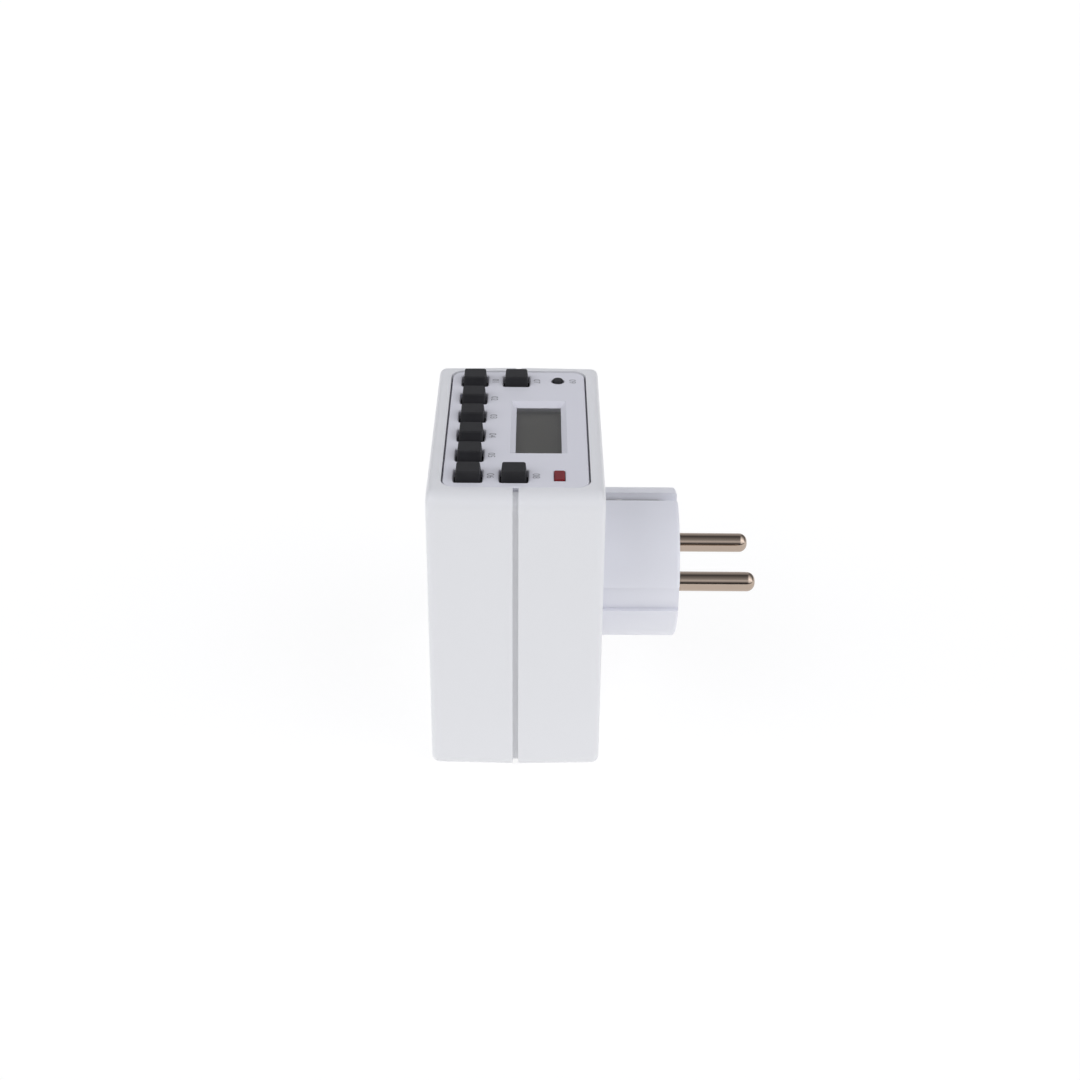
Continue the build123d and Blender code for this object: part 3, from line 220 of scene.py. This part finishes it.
# Housing screws: four zinc plated pan heads with a cross recess and a coarse thread for plastic.
# Each is driven from behind, down its well in the rear shell, into a post of the front shell.
well_side = 0.0296
well_heights = (0.009, 0.0565)
screw_seat_x = -0.0079
zinc_tones = ((0.62, 0.63, 0.65), (0.50, 0.51, 0.53))
unstretched = (1.0, 1.0, 1.0)
towards_rear = (0.0, math.pi / 2, 0.0)
brighter, duller = 0.04, 0.06
edge_angle = math.radians(35)
dome_share, dome_power = 0.97, 5.0
core_share, thread_share, shank_middle = 0.84, 0.97, -0.499


def finish_metal(name, colours, roughness, stretch, scratch):
    """Metal with fine drawn lines along one direction and slight tarnish."""
    made, tree, output = new_material(name)
    place = add(tree, "TexCoord").outputs["Object"]
    along = add(tree, "Mapping", {"Vector": place, "Scale": stretch})
    lines = add(tree, "TexNoise", {"Vector": along.outputs["Vector"], "Scale": 900.0, "Detail": 4.0})
    stain = add(tree, "TexNoise", {"Vector": place, "Scale": 160.0, "Detail": 3.0})
    tone = add(tree, "Mix", {0: stain.outputs["Fac"], 6: colours[0], 7: colours[1]}, data_type="RGBA")
    gloss = add(tree, "MapRange", {
        "Value": lines.outputs["Fac"], "From Min": 0.3, "From Max": 0.7,
        "To Min": roughness - brighter, "To Max": roughness + duller,
    })
    relief = add(tree, "Bump", {"Height": lines.outputs["Fac"], "Strength": scratch, "Distance": 0.00003})
    metal = add(tree, "BsdfPrincipled", {
        "Base Color": tone.outputs[2], "Metallic": 1.0, "Roughness": gloss.outputs["Result"],
        "Normal": relief.outputs["Normal"],
    })
    tree.links.new(metal.outputs["BSDF"], output.inputs["Surface"])
    return made


def tree_with(name, sizes):
    """A geometry tree with a points input, named inputs for its sizes and a metal."""
    tree = bpy.data.node_groups.new(name, "GeometryNodeTree")
    tree.interface.new_socket("Places", in_out="INPUT", socket_type="NodeSocketGeometry")
    for size in sizes:
        kind = "NodeSocketInt" if size == "Seed" else "NodeSocketFloat"
        tree.interface.new_socket(size, in_out="INPUT", socket_type=kind)
    tree.interface.new_socket("Turn", in_out="INPUT", socket_type="NodeSocketVector")
    tree.interface.new_socket("Metal", in_out="INPUT", socket_type="NodeSocketMaterial")
    tree.interface.new_socket("Made", in_out="OUTPUT", socket_type="NodeSocketGeometry")
    return tree, tree.nodes.new("NodeGroupInput").outputs


def grow(tree, kind, inputs=None, **settings):
    """One geometry node, with its settings and its sockets' values or links."""
    made = tree.nodes.new(kind)
    for key, value in settings.items():
        setattr(made, key, value)
    for key, value in (inputs or {}).items():
        socket = made.inputs[key]
        for one in value if isinstance(value, list) else [value]:
            if isinstance(one, bpy.types.NodeSocket):
                tree.links.new(one, socket)
            else:
                socket.default_value = one
    return made


def reckon(tree, operation, a, b=0.0):
    """A sum on two sizes of a geometry tree."""
    return grow(tree, "ShaderNodeMath", {0: a, 1: b}, operation=operation).outputs[0]


def close_tree(tree, made, material):
    """Realize what a tree made, give it its material and pass it out."""
    real = grow(tree, "GeometryNodeRealizeInstances", {0: made})
    coated = grow(tree, "GeometryNodeSetMaterial", {"Geometry": real.outputs[0], "Material": material})
    tree.links.new(coated.outputs[0], tree.nodes.new("NodeGroupOutput").inputs[0])


def screw_tree():
    """Pan head with a cross recess, plain shank and thread, standing on each place."""
    tree, given = tree_with("cross_head_screw", (
        "Head radius", "Head height", "Shank radius", "Shank length",
        "Recess length", "Recess width", "Recess depth", "Pitch", "Seed",
    ))
    top = grow(tree, "ShaderNodeCombineXYZ", {"Z": given["Head height"]}).outputs[0]
    axis = grow(tree, "GeometryNodeCurvePrimitiveLine", {"End": top})
    axis = grow(tree, "GeometryNodeResampleCurve", {"Curve": axis.outputs[0], "Count": 14})
    share = grow(tree, "GeometryNodeSplineParameter").outputs["Factor"]
    crown = reckon(tree, "POWER", reckon(tree, "MULTIPLY", share, dome_share), dome_power)
    width = reckon(tree, "SQRT", reckon(tree, "SUBTRACT", 1.0, crown))
    width = reckon(tree, "MULTIPLY", width, given["Head radius"])
    round_head = grow(tree, "GeometryNodeCurvePrimitiveCircle", {"Resolution": 40, "Radius": 1.0})
    head = grow(tree, "GeometryNodeCurveToMesh", {
        "Curve": axis.outputs[0], "Profile Curve": round_head.outputs[0], "Scale": width, "Fill Caps": True,
    })
    depth = reckon(tree, "MULTIPLY", given["Recess depth"], 2.0)
    bars = []
    for along, across in (("Recess length", "Recess width"), ("Recess width", "Recess length")):
        size = grow(tree, "ShaderNodeCombineXYZ", {"X": given[along], "Y": given[across], "Z": depth})
        bar = grow(tree, "GeometryNodeMeshCube", {"Size": size.outputs[0]})
        bars.append(grow(tree, "GeometryNodeTransform", {0: bar.outputs[0], "Translation": top}).outputs[0])
    head = grow(tree, "GeometryNodeMeshBoolean", {"Mesh 1": head.outputs[0], "Mesh 2": bars},
                operation="DIFFERENCE", solver="EXACT")
    core = reckon(tree, "MULTIPLY", given["Shank radius"], core_share)
    shank = grow(tree, "GeometryNodeMeshCylinder", {
        "Vertices": 24, "Radius": core, "Depth": given["Shank length"],
    })
    half_down = reckon(tree, "MULTIPLY", given["Shank length"], shank_middle)
    middle = grow(tree, "ShaderNodeCombineXYZ", {"Z": half_down})
    shank = grow(tree, "GeometryNodeTransform", {0: shank.outputs[0], "Translation": middle.outputs[0]})
    ridge = reckon(tree, "SUBTRACT", given["Shank radius"], core)
    helix = grow(tree, "GeometryNodeCurveSpiral", {
        "Resolution": 16, "Rotations": reckon(tree, "DIVIDE", given["Shank length"], given["Pitch"]),
        "Start Radius": core, "End Radius": core,
        "Height": reckon(tree, "MULTIPLY", given["Shank length"], thread_share),
    })
    section = grow(tree, "GeometryNodeCurvePrimitiveCircle", {"Resolution": 4, "Radius": 1.0})
    thread = grow(tree, "GeometryNodeCurveToMesh", {
        "Curve": helix.outputs[0], "Profile Curve": section.outputs[0], "Scale": ridge, "Fill Caps": True,
    })
    foot = grow(tree, "ShaderNodeCombineXYZ", {"Z": reckon(tree, "MULTIPLY", given["Shank length"], -1.0)})
    thread = grow(tree, "GeometryNodeTransform", {0: thread.outputs[0], "Translation": foot.outputs[0]})
    parts = [head.outputs[0], shank.outputs[0], thread.outputs[0]]
    screw = grow(tree, "GeometryNodeJoinGeometry", {0: parts})
    placed = grow(tree, "GeometryNodeInstanceOnPoints", {
        "Points": given["Places"], "Instance": screw.outputs[0], "Rotation": given["Turn"],
    })
    chance = grow(tree, "FunctionNodeRandomValue", {"Seed": given["Seed"]}, data_type="FLOAT")
    spin = grow(tree, "ShaderNodeCombineXYZ", {"Z": reckon(tree, "MULTIPLY", chance.outputs[1], math.pi)})
    driven = grow(tree, "GeometryNodeRotateInstances", {
        "Instances": placed.outputs[0], "Rotation": spin.outputs[0], "Local Space": True,
    })
    close_tree(tree, driven.outputs[0], given["Metal"])
    return tree


def make_from_tree(name, tree, places, body, replaced, given):
    """Run a tree on a set of places, and keep the result as one plain mesh on its body."""
    points = bpy.data.meshes.new(name + "_places")
    points.from_pydata(places, [], [])
    holder = bpy.data.objects.new(name + "_places", points)
    bpy.context.scene.collection.objects.link(holder)
    modifier = holder.modifiers.new("tree", "NODES")
    modifier.node_group = tree
    for socket in tree.interface.items_tree:
        if socket.in_out == "INPUT" and socket.name in given:
            modifier[socket.identifier] = given[socket.name]
    depsgraph = bpy.context.evaluated_depsgraph_get()
    mesh = bpy.data.meshes.new_from_object(holder.evaluated_get(depsgraph), depsgraph=depsgraph)
    holder.modifiers.remove(modifier)
    bpy.data.objects.remove(holder)
    mesh.shade_smooth()
    mesh.set_sharp_from_angle(angle=edge_angle)
    piece = bpy.data.objects.new(name, mesh)
    bpy.context.scene.collection.objects.link(piece)
    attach(piece, body)
    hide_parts(replaced)


zinc = finish_metal("zinc_plate", zinc_tones, roughness=0.26, stretch=unstretched, scratch=0.25)
screw = screw_tree()
shell_places = [(screw_seat_x, side * well_side, height) for side in (-1, 1) for height in well_heights]
make_from_tree(
    "shell_screws", screw, shell_places, "housing", "housing_screws",
    {"Head radius": 0.0028, "Head height": 0.002, "Shank radius": 0.00145, "Shank length": 0.025,
     "Recess length": 0.0035, "Recess width": 0.0007, "Recess depth": 0.0011, "Pitch": 0.0011,
     "Seed": 3, "Turn": towards_rear, "Metal": zinc},
)


# Control panel: a separate matt moulding let into the top, with a finer grain than the shells.
# Above each key a plain number is printed in grey, to be read from the socket's side.
panel_tones = ((0.745, 0.745, 0.80), (0.725, 0.725, 0.78))
ink_tones = ((0.20, 0.20, 0.22), (0.30, 0.30, 0.32))
panel_top_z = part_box("control_panel")[1][2]
number_height = 0.0024
number_shift = 0.0050
reset_number_shift = 0.0036
print_thickness = 0.000015
weld = 1e-7
key_order = ("clock", "timer", "countdown", "week", "hour", "minute", "random", "manual", "reset")
panel_plastic = finish_plastic(
    "matt_panel_plastic", panel_tones, roughness=0.55, grain=4200.0, depth=0.00004,
)
dress(("control_panel",), panel_plastic)
grey_ink, tree, output = new_material("grey_print")
place = add(tree, "TexCoord").outputs["Object"]
cover = add(tree, "TexNoise", {"Vector": place, "Scale": 5200.0, "Detail": 2.0})
ink_tone = add(tree, "Mix", {0: cover.outputs["Fac"], 6: ink_tones[0], 7: ink_tones[1]}, data_type="RGBA")
ink = add(tree, "BsdfPrincipled", {"Base Color": ink_tone.outputs[2], "Roughness": 0.5})
tree.links.new(ink.outputs["BSDF"], output.inputs["Surface"])


def printed(numbers):
    """Flat printed numbers, each with its centre on the panel, joined in one mesh."""
    sheet = bmesh.new()
    for text, x, y in numbers:
        letters = bpy.data.curves.new("number", "FONT")
        letters.body = text
        letters.size = number_height
        letters.align_x = "CENTER"
        letters.align_y = "CENTER"
        letters.extrude = print_thickness / 2
        letters.resolution_u = 3
        holder = bpy.data.objects.new("number", letters)
        bpy.context.scene.collection.objects.link(holder)
        depsgraph = bpy.context.evaluated_depsgraph_get()
        flat = bpy.data.meshes.new_from_object(holder.evaluated_get(depsgraph), depsgraph=depsgraph)
        bpy.data.objects.remove(holder)
        lift = panel_top_z + print_thickness / 2
        flat.transform(Matrix.Translation((x, y, lift)) @ Matrix.Rotation(-math.pi / 2, 4, "Z"))
        sheet.from_mesh(flat)
    mesh = bpy.data.meshes.new("panel_numbers")
    bmesh.ops.remove_doubles(sheet, verts=sheet.verts, dist=weld)
    sheet.to_mesh(mesh)
    sheet.free()
    return mesh


numbers = []
for count, key in enumerate(key_order, start=1):
    low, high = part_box(key + "_button")
    shift = reset_number_shift if key == "reset" else number_shift
    numbers.append((f"{count:02d}", (low[0] + high[0]) / 2 + shift, (low[1] + high[1]) / 2))
panel_numbers = bpy.data.objects.new("panel_numbers", printed(numbers))
bpy.context.scene.collection.objects.link(panel_numbers)
panel_numbers.data.materials.append(grey_ink)
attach(panel_numbers, "housing")


# Keys and the sheet that they stand on: charcoal silicone rubber, matt, with a dry bloom.
# The sheet lies on the control board and its collars guide the keys' bosses.
charcoal = ((0.016, 0.016, 0.0175), (0.027, 0.027, 0.0295))
rubber, tree, output = new_material("charcoal_silicone")
place = add(tree, "TexCoord").outputs["Object"]
bloom = add(tree, "TexNoise", {"Vector": place, "Scale": 420.0, "Detail": 4.0})
skin = add(tree, "Mix", {0: bloom.outputs["Fac"], 6: charcoal[0], 7: charcoal[1]}, data_type="RGBA")
pores = add(tree, "TexNoise", {"Vector": place, "Scale": 5200.0, "Detail": 3.0})
pore_relief = add(tree, "Bump", {"Height": pores.outputs["Fac"], "Strength": 0.4, "Distance": 0.00005})
silicone = add(tree, "BsdfPrincipled", {
    "Base Color": skin.outputs[2], "Roughness": 0.55, "Normal": pore_relief.outputs["Normal"],
    "Specular IOR Level": 0.20,
})
tree.links.new(silicone.outputs["BSDF"], output.inputs["Surface"])
dress([name for name in nodes if name.endswith("_button")] + ["keypad_mat"], rubber)


# Display: a smoky clear plate with a raised pane, over a liquid crystal cell that is blank.
# A white frame on the board carries the cell, and two striped rubber strips make its contacts.
pane_tint = (0.80, 0.80, 0.785)
pane_shine = (1.0, 1.0, 1.0)
crystal_tones = ((0.60, 0.585, 0.54), (0.70, 0.685, 0.635))
inner_tones = ((0.72, 0.72, 0.69), (0.69, 0.69, 0.66))
strip_pitch = 0.0004
strip_layers = ((0.02, 0.02, 0.02), (0.42, 0.16, 0.14))
smoky, tree, output = new_material("smoky_window")
see = add(tree, "BsdfTransparent", {"Color": pane_tint})
shine = add(tree, "BsdfGlossy", {"Color": pane_shine, "Roughness": 0.04})
facing = add(tree, "Fresnel", {"IOR": 1.49})
pane = add(tree, "MixShader", {0: facing.outputs[0], 1: see.outputs[0], 2: shine.outputs[0]})
tree.links.new(pane.outputs[0], output.inputs["Surface"])
dress(("lcd_window",), smoky)

crystal, tree, output = new_material("blank_liquid_crystal")
place = add(tree, "TexCoord").outputs["Object"]
haze = add(tree, "TexNoise", {"Vector": place, "Scale": 90.0, "Detail": 2.0})
film = add(tree, "Mix", {0: haze.outputs["Fac"], 6: crystal_tones[0], 7: crystal_tones[1]}, data_type="RGBA")
dots = add(tree, "TexNoise", {"Vector": place, "Scale": 2600.0, "Detail": 2.0})
dot_relief = add(tree, "Bump", {"Height": dots.outputs["Fac"], "Strength": 0.2, "Distance": 0.00001})
glass = add(tree, "BsdfPrincipled", {
    "Base Color": film.outputs[2], "Roughness": 0.28, "Normal": dot_relief.outputs["Normal"],
    "Coat Weight": 0.3, "Coat Roughness": 0.05,
})
tree.links.new(glass.outputs["BSDF"], output.inputs["Surface"])
dress(("lcd_cell",), crystal)

inner_plastic = finish_plastic("inner_white_plastic", inner_tones, roughness=0.5, grain=3000.0)
dress(("lcd_frame", "ribbon_plugs", "shutter", "contact_carrier"), inner_plastic)

zebra, tree, output = new_material("striped_contact_rubber")
place = add(tree, "SeparateXYZ", {"Vector": add(tree, "TexCoord").outputs["Object"]})
turns = add(tree, "Math", {0: place.outputs["Y"], 1: math.tau / strip_pitch}, operation="MULTIPLY")
wave = add(tree, "Math", {0: turns.outputs[0]}, operation="SINE")
layer = add(tree, "Math", {0: wave.outputs[0], 1: 0.0}, operation="GREATER_THAN")
stripe = add(tree, "Mix", {0: layer.outputs[0], 6: strip_layers[0], 7: strip_layers[1]}, data_type="RGBA")
strip_rubber = add(tree, "BsdfPrincipled", {"Base Color": stripe.outputs[2], "Roughness": 0.6})
tree.links.new(strip_rubber.outputs["BSDF"], output.inputs["Surface"])
dress(("lcd_contact_strips",), zebra)


# Indicator lamp: a block of red tinted epoxy, cast round two tinned steel leads. It stands just
# proud of the panel. The crystal's can, the backup cell and its tabs are as bright as the leads.
lamp_tones = ((0.165, 0.004, 0.008), (0.22, 0.008, 0.012))
tin_tones = ((0.72, 0.72, 0.70), (0.62, 0.62, 0.60))
lamp_red, tree, output = new_material("red_lamp_epoxy")
place = add(tree, "TexCoord").outputs["Object"]
cloud = add(tree, "TexNoise", {"Vector": place, "Scale": 700.0, "Detail": 3.0})
red = add(tree, "Mix", {0: cloud.outputs["Fac"], 6: lamp_tones[0], 7: lamp_tones[1]}, data_type="RGBA")
lamp_haze = add(tree, "Bump", {"Height": cloud.outputs["Fac"], "Strength": 0.15, "Distance": 0.00004})
epoxy = add(tree, "BsdfPrincipled", {
    "Base Color": red.outputs[2], "Roughness": 0.34, "Normal": lamp_haze.outputs["Normal"],
    "Specular IOR Level": 0.24, "Subsurface Weight": 0.15, "Subsurface Radius": (1.0, 0.1, 0.1),
    "Subsurface Scale": 0.0008,
})
tree.links.new(epoxy.outputs["BSDF"], output.inputs["Surface"])
dress(("led_lamp",), lamp_red)

tin = finish_metal("bright_tin", tin_tones, roughness=0.24, stretch=unstretched, scratch=0.2)
dress(("led_leads", "clock_crystal", "backup_cell", "backup_cell_tabs"), tin)


# Boards: glass epoxy sheets with a green mask over the tracks and tinned pads. The control board
# hangs from the panel's posts on four small screws, and the power board lies in the shells.
mask_green = ((0.012, 0.085, 0.030), (0.020, 0.125, 0.045))
pad_tin = (0.62, 0.62, 0.58)
pad_spacing = {"Scale": 260.0, "Randomness": 0.75}
track_reach, pad_reach = 0.12, 0.17
front_post, rear_post = (-0.02345, 0.017775), (-0.0048, 0.020075)
board_head_radius, board_head_height = 0.0018, 0.001
head_down = (math.pi, 0.0, 0.0)
board_green, tree, output = new_material("solder_mask")
place = add(tree, "TexCoord").outputs["Object"]
flat = add(tree, "Mapping", {"Vector": place, "Scale": (1.0, 1.0, 0.0)})
cells = add(tree, "TexVoronoi", {"Vector": flat.outputs[0], **pad_spacing}, feature="DISTANCE_TO_EDGE")
track = add(tree, "Math", {0: cells.outputs["Distance"], 1: track_reach}, operation="LESS_THAN")
under = add(tree, "Mix", {0: track.outputs[0], 6: mask_green[0], 7: mask_green[1]}, data_type="RGBA")
holes = add(tree, "TexVoronoi", {"Vector": flat.outputs[0], **pad_spacing})
pad = add(tree, "Math", {0: holes.outputs["Distance"], 1: pad_reach}, operation="LESS_THAN")
surface = add(tree, "Mix", {0: pad.outputs[0], 6: under.outputs[2], 7: pad_tin}, data_type="RGBA")
raised = add(tree, "Math", {0: track.outputs[0], 1: pad.outputs[0]}, operation="ADD")
board_relief = add(tree, "Bump", {"Height": raised.outputs[0], "Strength": 0.3, "Distance": 0.00004})
sheet = add(tree, "BsdfPrincipled", {
    "Base Color": surface.outputs[2], "Roughness": 0.32, "Metallic": pad.outputs[0],
    "Normal": board_relief.outputs["Normal"],
})
tree.links.new(sheet.outputs["BSDF"], output.inputs["Surface"])
dress(("control_board", "power_board"), board_green)

board_seat_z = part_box("control_board_screws")[0][2] + board_head_height
posts = [(x, side * y, board_seat_z) for x, y in (front_post, rear_post) for side in (-1, 1)]
make_from_tree(
    "board_screws", screw, posts, "housing", "control_board_screws",
    {"Head radius": board_head_radius, "Head height": board_head_height,
     "Shank radius": 0.0009, "Shank length": 0.005,
     "Recess length": 0.0022, "Recess width": 0.0005, "Recess depth": 0.0006, "Pitch": 0.0007,
     "Seed": 5, "Turn": head_down, "Metal": zinc},
)


# Parts on the boards, each in the finish that its kind has: moulded resin, blue and yellow cases,
# a glazed ceramic fuse, and a grey ribbon cable whose first wire is marked red.
def finish_case(name, colours, roughness, speck, coat=0.0):
    """A small moulded or dipped case: two close tones, light orange peel and an optional glaze."""
    made, tree, output = new_material(name)
    place = add(tree, "TexCoord").outputs["Object"]
    mottle = add(tree, "TexNoise", {"Vector": place, "Scale": speck, "Detail": 3.0})
    tone = add(tree, "Mix", {0: mottle.outputs["Fac"], 6: colours[0], 7: colours[1]}, data_type="RGBA")
    peel = add(tree, "TexNoise", {"Vector": place, "Scale": speck * 5, "Detail": 2.0})
    relief = add(tree, "Bump", {"Height": peel.outputs["Fac"], "Strength": 0.3, "Distance": 0.00005})
    case = add(tree, "BsdfPrincipled", {
        "Base Color": tone.outputs[2], "Roughness": roughness, "Normal": relief.outputs["Normal"],
        "Coat Weight": coat, "Coat Roughness": 0.1,
    })
    tree.links.new(case.outputs["BSDF"], output.inputs["Surface"])
    return made


# Each row gives the slot, two tones, the roughness, the speck, the glaze and the pieces.
case_finishes = (
    ("black_resin", ((0.012, 0.012, 0.013), (0.026, 0.026, 0.028)), 0.38, 500.0, 0.2,
     ("control_chip", "smoothing_capacitor", "rectifier")),
    ("relay_blue", ((0.020, 0.055, 0.22), (0.028, 0.070, 0.27)), 0.42, 300.0, 0.0, ("relay",)),
    ("capacitor_yellow", ((0.58, 0.36, 0.035), (0.66, 0.42, 0.05)), 0.40, 300.0, 0.1, ("dropper_capacitor",)),
    ("varistor_blue", ((0.025, 0.10, 0.30), (0.035, 0.13, 0.36)), 0.30, 700.0, 0.5, ("varistor",)),
    ("fuse_ceramic", ((0.70, 0.67, 0.58), (0.76, 0.73, 0.65)), 0.25, 400.0, 0.6, ("fuse",)),
)
for slot, colours, roughness, speck, coat, dressed in case_finishes:
    dress(dressed, finish_case(slot, colours, roughness, speck, coat))

wires = 5
vinyl_grey, vinyl_red = (0.30, 0.30, 0.31), (0.42, 0.03, 0.03)
ribbon_low, ribbon_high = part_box("ribbon_cable")
wire_pitch = (ribbon_high[0] - ribbon_low[0]) / wires
ribbon_grey, tree, output = new_material("ribbon_insulation")
place = add(tree, "TexCoord").outputs["Object"]
wire_place = add(tree, "SeparateXYZ", {"Vector": place})
first_wire = {0: wire_place.outputs["X"], 1: ribbon_low[0] + wire_pitch}
marked = add(tree, "Math", first_wire, operation="LESS_THAN")
insulation = add(tree, "Mix", {0: marked.outputs[0], 6: vinyl_grey, 7: vinyl_red}, data_type="RGBA")
wavy = add(tree, "TexNoise", {"Vector": place, "Scale": 400.0, "Detail": 2.0})
wave_relief = add(tree, "Bump", {"Height": wavy.outputs["Fac"], "Strength": 0.2, "Distance": 0.00005})
vinyl = add(tree, "BsdfPrincipled", {
    "Base Color": insulation.outputs[2], "Roughness": 0.45, "Normal": wave_relief.outputs["Normal"],
})
tree.links.new(vinyl.outputs["BSDF"], output.inputs["Surface"])
dress(("ribbon_cable",), ribbon_grey)


# Socket's inner parts: brass contacts in a white carrier that two screws hold on the well, and
# the shutter behind the pin holes, with its coiled steel spring and the screw that keeps both on.
plug_axis_z = 0.037
brass_tones = ((0.78, 0.60, 0.30), (0.66, 0.48, 0.22))
drawn_along_x = (0.15, 1.0, 1.0)
spring_tones = ((0.36, 0.35, 0.34), (0.26, 0.25, 0.25))
carrier_head_radius, carrier_head_height = 0.002, 0.0012
keeper_head_height = 0.001
spring_wire = 0.0006
coil_turns = 2.5
conductors = (
    "live_contact", "neutral_contact", "earth_rivet", "neutral_bar", "live_input_bar", "live_output_bar",
)
brass = finish_metal("contact_brass", brass_tones, roughness=0.26, stretch=drawn_along_x, scratch=0.25)
dress(conductors, brass)

carrier_low, carrier_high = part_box("carrier_screws")
carrier_places = [
    (carrier_high[0] - carrier_head_height, y, plug_axis_z)
    for y in (carrier_low[1] + carrier_head_radius, carrier_high[1] - carrier_head_radius)
]
make_from_tree(
    "contact_carrier_screws", screw, carrier_places, "housing", "carrier_screws",
    {"Head radius": carrier_head_radius, "Head height": carrier_head_height,
     "Shank radius": 0.00085, "Shank length": 0.005,
     "Recess length": 0.0024, "Recess width": 0.0005, "Recess depth": 0.0007, "Pitch": 0.0007,
     "Seed": 7, "Turn": towards_rear, "Metal": zinc},
)
keeper_seat_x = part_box("shutter_screw")[1][0] - keeper_head_height
make_from_tree(
    "shutter_keeper_screw", screw, [(keeper_seat_x, 0.0, plug_axis_z)],
    "housing", "shutter_screw",
    {"Head radius": 0.0033, "Head height": keeper_head_height,
     "Shank radius": 0.00075, "Shank length": 0.003,
     "Recess length": 0.0026, "Recess width": 0.0006, "Recess depth": 0.0006, "Pitch": 0.0006,
     "Seed": 9, "Turn": towards_rear, "Metal": zinc},
)

spring_steel = finish_metal(
    "oiled_spring_steel", spring_tones, roughness=0.28, stretch=unstretched, scratch=0.2,
)
spring_low, spring_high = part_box("shutter_spring")
coil, given = tree_with("coiled_spring", ("Coil radius", "Wire radius", "Turns", "Height"))
helix = grow(coil, "GeometryNodeCurveSpiral", {
    "Resolution": 32, "Rotations": given["Turns"], "Start Radius": given["Coil radius"],
    "End Radius": given["Coil radius"], "Height": given["Height"],
})
wire = grow(coil, "GeometryNodeCurvePrimitiveCircle", {"Resolution": 12, "Radius": given["Wire radius"]})
winding = grow(coil, "GeometryNodeCurveToMesh", {
    "Curve": helix.outputs[0], "Profile Curve": wire.outputs[0], "Fill Caps": True,
})
stood = grow(coil, "GeometryNodeInstanceOnPoints", {
    "Points": given["Places"], "Instance": winding.outputs[0], "Rotation": given["Turn"],
})
close_tree(coil, stood.outputs[0], given["Metal"])
make_from_tree(
    "shutter_coil", coil, [(spring_low[0] + spring_wire / 2, 0.0, plug_axis_z)],
    "housing", "shutter_spring",
    {"Coil radius": (spring_high[1] - spring_low[1] - spring_wire) / 2, "Wire radius": spring_wire / 2,
     "Turns": coil_turns, "Height": spring_high[0] - spring_low[0] - spring_wire,
     "Turn": towards_rear, "Metal": spring_steel},
)


# Plug pins and both earth strips: brass with a nickel plate, the pins turned and polished, the
# strips stamped and bent. The pins are moulded into the plug, and a rivet joins the two strips.
pin_nickel = ((0.485, 0.395, 0.325), (0.445, 0.360, 0.293))
pin_polish = (0.12, 1.0, 1.0)
strip_nickel = ((0.78, 0.77, 0.76), (0.72, 0.71, 0.70))
strip_rolling = (0.3, 1.0, 1.0)
nickel = finish_metal("nickel_plate", pin_nickel, roughness=0.09, stretch=pin_polish, scratch=0.08)
dress(("live_pin", "neutral_pin"), nickel)
bright_nickel = finish_metal(
    "bright_nickel_strip", strip_nickel, roughness=0.22, stretch=strip_rolling, scratch=0.15,
)
dress(("plug_earth_contact", "socket_earth_contact"), bright_nickel)
